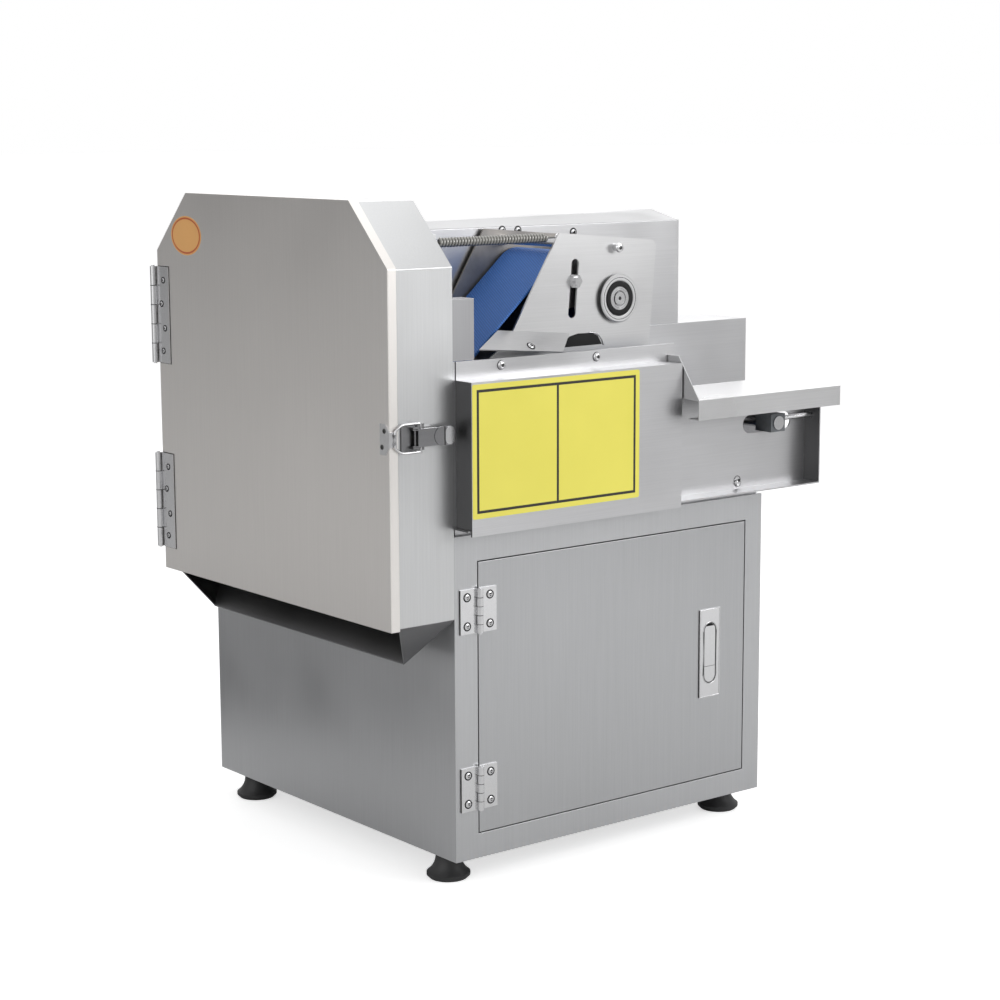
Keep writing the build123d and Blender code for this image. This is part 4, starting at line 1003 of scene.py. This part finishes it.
# %% The path of a belt round its rollers
BELT_THICK = 3.0 * MM
BELT_EDGE = 0.8 * MM
BELT_Y = (at(0, 42, 0).y, at(0, 158, 0).y)


def arc_points(centre, radius, start, stop, step):
    """Points on an arc, anticlockwise as seen with x to the right and z up."""
    count = max(2, int(abs(stop - start) / step))
    angles = [start + (stop - start) * i / count for i in range(count + 1)]
    return [(centre[0] + radius * cos(a), centre[1] + radius * sin(a)) for a in angles]


def belt_path(circles, step=radians(6)):
    """The tight path round circles given anticlockwise, each (x, z, radius)."""
    path = []
    count = len(circles)
    tangents = []
    for i, (x0, z0, r0) in enumerate(circles):
        x1, z1, r1 = circles[(i + 1) % count]
        dx, dz = x1 - x0, z1 - z0
        gap = (dx * dx + dz * dz) ** 0.5
        lean = (r0 - r1) / gap
        along = Vector((dx, dz)).normalized()
        outward = Vector((along.y, -along.x))
        normal = outward * (1 - lean * lean) ** 0.5 + along * lean
        tangents.append(normal)
    for i, (x, z, r) in enumerate(circles):
        before, after = tangents[i - 1], tangents[i]
        start = angle_of(before)
        stop = angle_of(after)
        while stop < start:
            stop += 2 * pi
        path += arc_points((x, z), r, start, stop, step)
    return path


def angle_of(v):
    return atan2(v.y, v.x)


print("belt", round((BELT_Y[1] - BELT_Y[0]) / MM), "mm wide")

# %% [markdown]
# ## Belt bands
# Each band is swept round its path with one rounded section. The feed belt lies on the machine and
# the press belt rides on the tilting frame. The rollers turn inside them and the bands stand still.

# %% Belt bands
def band(name, circles, body, node):
    """A belt band with rounded edges and a belt UV map in metres."""
    inner = belt_path(circles)
    outer = belt_path([(x, z, r + BELT_THICK) for x, z, r in circles])
    bm = bmesh.new()
    uv = bm.loops.layers.uv.new("belt")
    edge = BELT_EDGE
    section = [(0, BELT_Y[0]), (0, BELT_Y[1]), (BELT_THICK - edge, BELT_Y[1]),
               (BELT_THICK, BELT_Y[1] - edge), (BELT_THICK, BELT_Y[0] + edge),
               (BELT_THICK - edge, BELT_Y[0])]
    length, lengths = 0.0, [0.0]
    for (xa, za), (xb, zb) in zip(outer, outer[1:] + outer[:1]):
        length += ((xb - xa) ** 2 + (zb - za) ** 2) ** 0.5
        lengths.append(length)
    hoops = []
    for (xi, zi), (xo, zo) in zip(inner, outer):
        ring = [bm.verts.new((xi + (xo - xi) * t / BELT_THICK, y, zi + (zo - zi) * t / BELT_THICK))
                for t, y in section]
        hoops.append(ring)
    sides = len(section)
    for i, low in enumerate(hoops):
        high = hoops[(i + 1) % len(hoops)]
        for k in range(sides):
            face = bm.faces.new((low[k], low[(k + 1) % sides], high[(k + 1) % sides], high[k]))
            marks = ((lengths[i], section[k][1]), (lengths[i], section[(k + 1) % sides][1]),
                     (lengths[i + 1], section[(k + 1) % sides][1]), (lengths[i + 1], section[k][1]))
            for loop, mark in zip(face.loops, marks):
                loop[uv].uv = mark
    piece = mesh_piece(name, bm, blue_belting)
    smooth(piece, 35)
    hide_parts(node)
    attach(piece, body)
    print(name, "length", round(length * 1000), "mm")


def roller_circle(node, radius):
    """A roller's place in x and z, and the radius of the belt's inner face on it."""
    low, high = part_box(node)
    middle = (low + high) / 2
    return (middle.x, middle.z, (radius + 0.3) * MM)


feed_drive = roller_circle("feed_drive_roller", 34.0)
feed_tail = roller_circle("feed_tail_roller", 34.0)
band("feed_belt_band", [feed_drive, feed_tail], "machine_frame", "feed_belt")
press_drive = roller_circle("press_drive_roller", 30.0)
press_top = roller_circle("press_top_roller", 37.4)
press_nip = roller_circle("press_nip_roller", 25.0)
band("press_belt_band", [press_nip, press_drive, press_top], "press_frame", "press_belt")

# %% [markdown]
# ## Bearing face
# The press shaft ends in a sealed ball bearing that faces the viewer. Its rings, dark seal and the
# shaft's centre mark are one profile turned about the shaft, which gives every step its own light.

# %% A function for turned pieces
def turned(name, profile, centre, body, material, sides=64):
    """A closed profile of (radius, out) points turned about the Y axis, facing the front."""
    bm = bmesh.new()
    hoops = []
    for radius, out in profile:
        if radius == 0:
            hoops.append([bm.verts.new(centre + Vector((0, -out, 0)))])
            continue
        angles = [2 * pi * k / sides for k in range(sides)]
        hoops.append([bm.verts.new(centre + Vector((cos(a) * radius, -out, sin(a) * radius)))
                      for a in angles])
    closed = profile[0][0] > 0 and profile[-1][0] > 0
    pairs = list(zip(hoops, hoops[1:])) + ([(hoops[-1], hoops[0])] if closed else [])
    for low, high in pairs:
        for k in range(sides):
            n = (k + 1) % sides
            corners = [low[0]] if len(low) == 1 else [low[k], low[n]]
            corners += [high[0]] if len(high) == 1 else [high[n], high[k]]
            bm.faces.new(corners)
    piece = mesh_piece(name, bm, material)
    smooth(piece, 30)
    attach(piece, body)


def mm_profile(points):
    return [(r * MM, out * MM) for r, out in points]


# %% [markdown]
# ## The parts of the bearing face
# From the outside in: a flange ring with a black wire where its groove is, a dark seal, a bright
# inner ring with a groove, and the end of the shaft with its centre mark. The black wire and the
# dark centre mark are painted shade. The rings stay on the press frame, and the shaft's end turns.

# %% Bearing face
bearing_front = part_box("press_bearings")[0].y
bearing_centre = Vector((press_drive[0], bearing_front, press_drive[1]))
print("bearing centre", [round(c, 4) for c in bearing_centre])
turned("bearing_flange", mm_profile([(24.4, -0.9), (24.4, 0.5), (25.4, 1.1), (31.6, 1.1),
                                     (33.2, -0.1), (33.2, -0.9)]),
       bearing_centre, "press_frame", plate_steel)
turned("bearing_seal", mm_profile([(16.0, 0.1), (16.0, 0.7), (16.8, 1.1), (22.6, 1.1),
                                   (23.7, 0.5), (23.7, 0.1)]),
       bearing_centre, "press_frame", black_seal_and_shade)
# A black wire paints the shade of a groove on the flange.
rings("bearing_groove", "press_frame", [bearing_centre + Vector((0, -1.15, 0)) * MM], (0, -1, 0),
      28.6, 0.35)
turned("bearing_inner_ring", mm_profile([(10.6, 0.1), (10.6, 0.9), (11.2, 1.3), (12.6, 1.3),
                                         (13.0, 0.9), (13.6, 0.9), (14.0, 1.3), (15.6, 1.3),
                                         (16.2, 0.8), (16.2, 0.1)]),
       bearing_centre, "press_frame", turned_steel)
turned("shaft_end_ring", mm_profile([(2.4, 1.1), (2.4, 1.5), (3.2, 2.1), (8.4, 2.1), (9.2, 1.5),
                                     (9.2, 1.1)]),
       bearing_centre, "press_drive", turned_steel)
# A black disc paints the shade in the shaft's centre hole.
turned("shaft_centre_mark", mm_profile([(0, 1.15), (2.3, 1.15), (2.3, 1.3), (0, 1.3)]),
       bearing_centre, "press_drive", black_seal_and_shade)

# %% [markdown]
# ## Bare yellow plate
# The guard carries a thin yellow plate. It is bare here, with rounded corners, a plain raised frame
# line and one divider. A thin slab with its own thickness catches the light at its edge, which a
# painted patch would not.

# %% Coloured films and thin slabs
yellow_film = moulded("yellow_film", (0.88, 0.80, 0.12), (0.32, 0.42), 400.0, 0.03, coat=0.15,
                      spread=0.03)
line_film = moulded("line_film", (0.016, 0.015, 0.012), (0.4, 0.5), 400.0, 0.03, spread=0.03)
orange_film = moulded("orange_film", (0.52, 0.11, 0.03), (0.3, 0.4), 400.0, 0.03, coat=0.2,
                      spread=0.04)
pale_film = moulded("pale_orange_film", (0.80, 0.42, 0.14), (0.3, 0.4), 400.0, 0.03, coat=0.2,
                    spread=0.04)


def flat_slab(name, corners, thick, outward, body, material):
    """A thin plate from its front outline."""
    bm = bmesh.new()
    front = [bm.verts.new(c + outward * thick) for c in corners]
    rear = [bm.verts.new(c) for c in corners]
    bm.faces.new(front)
    bm.faces.new(list(reversed(rear)))
    count = len(corners)
    for k in range(count):
        n = (k + 1) % count
        bm.faces.new((front[n], front[k], rear[k], rear[n]))
    piece = mesh_piece(name, bm, material)
    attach(piece, body)


def round_rect(x0, x1, z0, z1, r, y):
    """A rounded rectangle on a front plane, in cabinet millimetres."""
    points = []
    for cx, cz, start in ((x1 - r, z1 - r, 0), (x0 + r, z1 - r, 90), (x0 + r, z0 + r, 180),
                          (x1 - r, z0 + r, 270)):
        for k in range(7):
            a = radians(start + 15 * k)
            points.append(at(cx + r * cos(a), y, cz + r * sin(a)))
    return points


print("films", yellow_film.name, line_film.name, orange_film.name, pale_film.name)

# %% [markdown]
# ## Plate and its lines
# The plate lies on the guard's face and the lines lie on the plate, each 0.1 mm thick. They make a
# frame and one divider, with nothing inside them.

# %% Yellow plate
OUT = Vector((0, -1, 0))
GUARD_FACE = -34.0
PLATE_THICK = 0.4
PLATE_FRAME = (12, 284, 514, 675)
LINE_WIDTH = 3.6
DIVIDER_SHARE = 0.49
line_y = GUARD_FACE - PLATE_THICK
flat_slab("yellow_plate", round_rect(5, 291, 507, 682, 3, GUARD_FACE), PLATE_THICK * MM, OUT,
          "machine_frame", yellow_film)


def plate_line(name, x0, x1, z0, z1):
    flat_slab("plate_" + name, round_rect(x0, x1, z0, z1, 0.3, line_y), 0.1 * MM, OUT,
              "machine_frame", line_film)


left, right_side, bottom, top = PLATE_FRAME
middle = left + (right_side - left) * DIVIDER_SHARE
low, high = bottom + LINE_WIDTH, top - LINE_WIDTH
plate_line("frame_top", left, right_side, high, top)
plate_line("frame_bottom", left, right_side, bottom, low)
plate_line("frame_left", left, left + LINE_WIDTH, low, high)
plate_line("frame_right", right_side - LINE_WIDTH, right_side, low, high)
plate_line("divider", middle, middle + LINE_WIDTH, low, high)
print("plate lines", 5)

# %% [markdown]
# ## Bare sticker
# The sticker on the head door is an oval of three thin slabs, one on the other: a pale rim, an orange
# ring line and a bare pale middle. Nothing is printed on it.

# %% Bare sticker
STICKER = (485.0, 856.0)
HEAD_DOOR_FACE = -103.5


def door_oval(name, wide, tall, lift, material):
    """A flat oval on the head door's face, half as wide and tall as given."""
    centre = at(HEAD_DOOR_FACE - lift, *STICKER)
    turns = [2 * pi * k / 56 for k in range(56)]
    edge = [centre + Vector((0, cos(a) * wide, sin(a) * tall)) * MM for a in turns]
    flat_slab(name, edge, 0.15 * MM, Vector((-1, 0, 0)), "head_door", material)


door_oval("sticker_rim", 41.0, 27.5, 0.0, pale_film)
door_oval("sticker_ring", 38.5, 25.6, 0.1, orange_film)
door_oval("sticker_face", 35.6, 23.0, 0.2, pale_film)
print("sticker at", STICKER)

# %% [markdown]
# ## Hexagon sockets
# The button-head screws are driven with a hexagon key. Their heads come from the frame, and a thin
# dark hexagon on each paints the shade in its socket. A dark ring round the three heads on the guard
# and the lip is painted shadow. The bar of the press frame ends in one more such head, which is a
# turned profile.

# %% Hexagon sockets
def hexagon(name, body, centre, radius):
    """A thin dark hexagon of painted socket shade that faces the front, with its centre on a screw's
    top.
    """
    turns = [radians(60 * k + 15) for k in range(6)]
    edge = [centre + Vector((cos(a), 0, sin(a))) * radius * MM for a in turns]
    flat_slab(name, edge, 0.2 * MM, OUT, body, black_rubber_and_shade)


def front_end(node, y):
    """The middle of the round end that a node's bar shows in the plane y, in millimetres."""
    plane = at(0, y, 0).y
    corners = [v.co for v in frame["nodes"][node].data.vertices if abs(v.co.y - plane) < 0.0002]
    return sum(corners, Vector()) / len(corners)


PLATE_SCREWS = {"guard_left": (78, -5.4, 700), "guard_right": (242, -5.4, 700),
                "lip": (510, -3.9, 504)}
for name, place in PLATE_SCREWS.items():
    hexagon(name + "_socket", "machine_frame", at(*place), 2.6)
    points = [at(place[0], place[1] + 3.8, place[2])]
    rings(name + "_shadow", "machine_frame", points, (0, -1, 0), 6.1, 0.45)
tab_bar = front_end("press_cross_bars", 24.0)
print("tab bar end", [round(c, 4) for c in tab_bar])

BUTTON_HEAD = [(0, 2.6), (3.6, 2.6), (5.6, 1.9), (6.6, 0.6), (6.8, -0.3), (0, -0.3)]
turned("tab_bar_head", mm_profile(BUTTON_HEAD), tab_bar, "press_frame", bright_steel,
       40)
hexagon("tab_bar_socket", "press_frame", tab_bar + OUT * 2.6 * MM, 2.8)

# %% [markdown]
# ## The press frame's tab
# The sloping tab has one screw, and an arch is cut in the plate above the feeder. The frame's plate
# has no arch. A thin dark slab in the arch's outline paints the shade inside the opening, with a
# bright wire for the lit edge at its right end. It is drawn on the surface and isn't a hole.

# %% The screw and the drawn arch of the tab
TAB_NORMAL = Vector((0.07, -0.63, 0.77)).normalized()
marked_screws("tab_screw", "press_frame", [at(138.3, 10.8, 720.1)], tuple(TAB_NORMAL), 5.0, 2.2)

PRESS_FACE = 33.0
NOTCH = [(203, 711.5), (212, 719), (224, 726), (238, 729), (264, 728.5), (274, 724), (281, 712)]
NOTCH_EDGE = [(258, 729.6), (268, 728.6), (276, 724.6), (281, 718), (284, 711)]
flat_slab("tab_notch", [at(x, PRESS_FACE, z) for x, z in NOTCH], 0.2 * MM, OUT, "press_frame",
          black_seal_and_shade)


def wire_piece(name, body, path, radius, material):
    """A round wire along a path, in millimetres of radius."""
    bm = bmesh.new()
    tube_along(bm, path, radius * MM, 8)
    piece = mesh_piece(name, bm, material)
    smooth(piece, 60)
    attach(piece, body)


wire_piece("tab_notch_rim", "press_frame", [at(x, PRESS_FACE, z) for x, z in NOTCH_EDGE], 1.1,
           bright_steel)
print("notch points", len(NOTCH))

# %% [markdown]
# ## Dark lines beside the hinges and the lock
# Where a leaf or a plate ends there is a narrow gap that the photograph shows as a black line. Thin
# dark strips on the left edges paint the shade of that gap.

# %% Dark lines beside the hinges and the lock
def side_strip(name, body, x, y0, y1, z0, z1, material):
    """A dark strip of painted shade on a face that looks left."""
    edge = [at(x, y0, z0), at(x, y1, z0), at(x, y1, z1), at(x, y0, z1)]
    flat_slab(name, edge, 0.25 * MM, Vector((-1, 0, 0)), body, material)


LEAF_LEFT = 8.4
for place, z in (("lower", 136.0), ("upper", 378.0)):
    side_strip(place + "_leaf_edge", "machine_frame", LEAF_LEFT, -2.0, -0.2, z - 30, z + 30,
               black_plastic_and_shade)
side_strip("lock_plate_edge", "cabinet_door", 438.5, -1.5, -0.05, 194, 322, black_plastic_and_shade)
print("side strips", 3)

# %% [markdown]
# ## Rims of the lock
# The lock's handle lies in a long rounded recess. A dark wire follows the gap round the handle and
# paints its shade, a bright one the lip of the recess, and a bright one the plate's own edge. All
# three ride on the door, and stay clear of the handle as it swings out.

# %% Rims of the lock
def wire_loop(name, body, corners, radius, material):
    """A round wire along a closed outline."""
    wire_piece(name, body, corners + corners[:1], radius, material)


LOCK_FACE = -1.5
wire_loop("lock_recess_rim", "cabinet_door",
          round_rect(446.7, 470.3, 213.7, 302.3, 11.8, LOCK_FACE), 0.5, black_seal_and_shade)
wire_loop("lock_recess_lip", "cabinet_door",
          round_rect(445.6, 471.4, 212.6, 303.4, 12.9, LOCK_FACE), 0.8, bright_steel)
wire_loop("lock_plate_rim", "cabinet_door",
          round_rect(439.6, 477.4, 194.1, 321.9, 1.2, LOCK_FACE), 0.8, bright_steel)
print("lock rims", 3)

# %% [markdown]
# ## Hinge knuckles
# The hinges of both doors have five knuckles each, and the dark joints between them show clearly.
# A thin dark slab under each long leaf paints the shadow line round its outline on the head door.

# %% Knuckle joints and leaf outlines
BARREL = (-108.0, 572.5)
HEAD_HINGE_HEIGHTS = (469.0, 740.0)
HEAD_HINGE_LONG, DOOR_HINGE_LONG = 139, 60
JOINT_STEPS = (-3, -1, 1, 3)
joints = [at(BARREL[0], BARREL[1], middle_z + step * HEAD_HINGE_LONG / 10)
          for middle_z in HEAD_HINGE_HEIGHTS for step in JOINT_STEPS]
rings("head_hinge_joints", "machine_frame", joints, (0, 0, 1), 4.3, 0.6)
door_joints = [at(DOOR_HINGE_X, -4.5, middle_z + step * DOOR_HINGE_LONG / 10)
               for middle_z in DOOR_HINGE_HEIGHTS for step in JOINT_STEPS]
rings("door_hinge_joints", "machine_frame", door_joints, (0, 0, 1), 4.25, 0.5)


def leaf_shadow(name, middle_z):
    """A dark line of painted shadow round a hinge leaf on the head door."""
    y0, y1, z0, z1 = 534.6, 566.0, middle_z - 70.4, middle_z + 70.4
    edge = [at(HEAD_DOOR_FACE, y, z) for y, z in ((y0, z0), (y1, z0), (y1, z1), (y0, z1))]
    flat_slab(name, edge, 0.3 * MM, Vector((-1, 0, 0)), "head_door", black_seal_and_shade)


leaf_shadow("lower_leaf_shadow", HEAD_HINGE_HEIGHTS[0])
leaf_shadow("upper_leaf_shadow", HEAD_HINGE_HEIGHTS[1])
print("knuckle joints", len(joints) + len(door_joints))

# %% [markdown]
# ## Latch lever's pad
# The lever of the latch ends in a bright polished pad where the finger lifts it, with a dark line of
# painted shade in the crease where the pad begins. Both ride on the lever.

# %% Latch lever's pad
PAD_Y = -12.5
flat_slab("lever_pad", round_rect(-22, -7.4, 605.5, 628.5, 6.5, PAD_Y), 0.9 * MM, OUT,
          "latch_lever", bright_steel)
flat_slab("lever_pad_line", round_rect(-23.2, -21.8, 604.8, 629.2, 0.5, PAD_Y), 0.6 * MM, OUT,
          "latch_lever", black_plastic_and_shade)
print("pad at", PAD_Y, "mm in front")
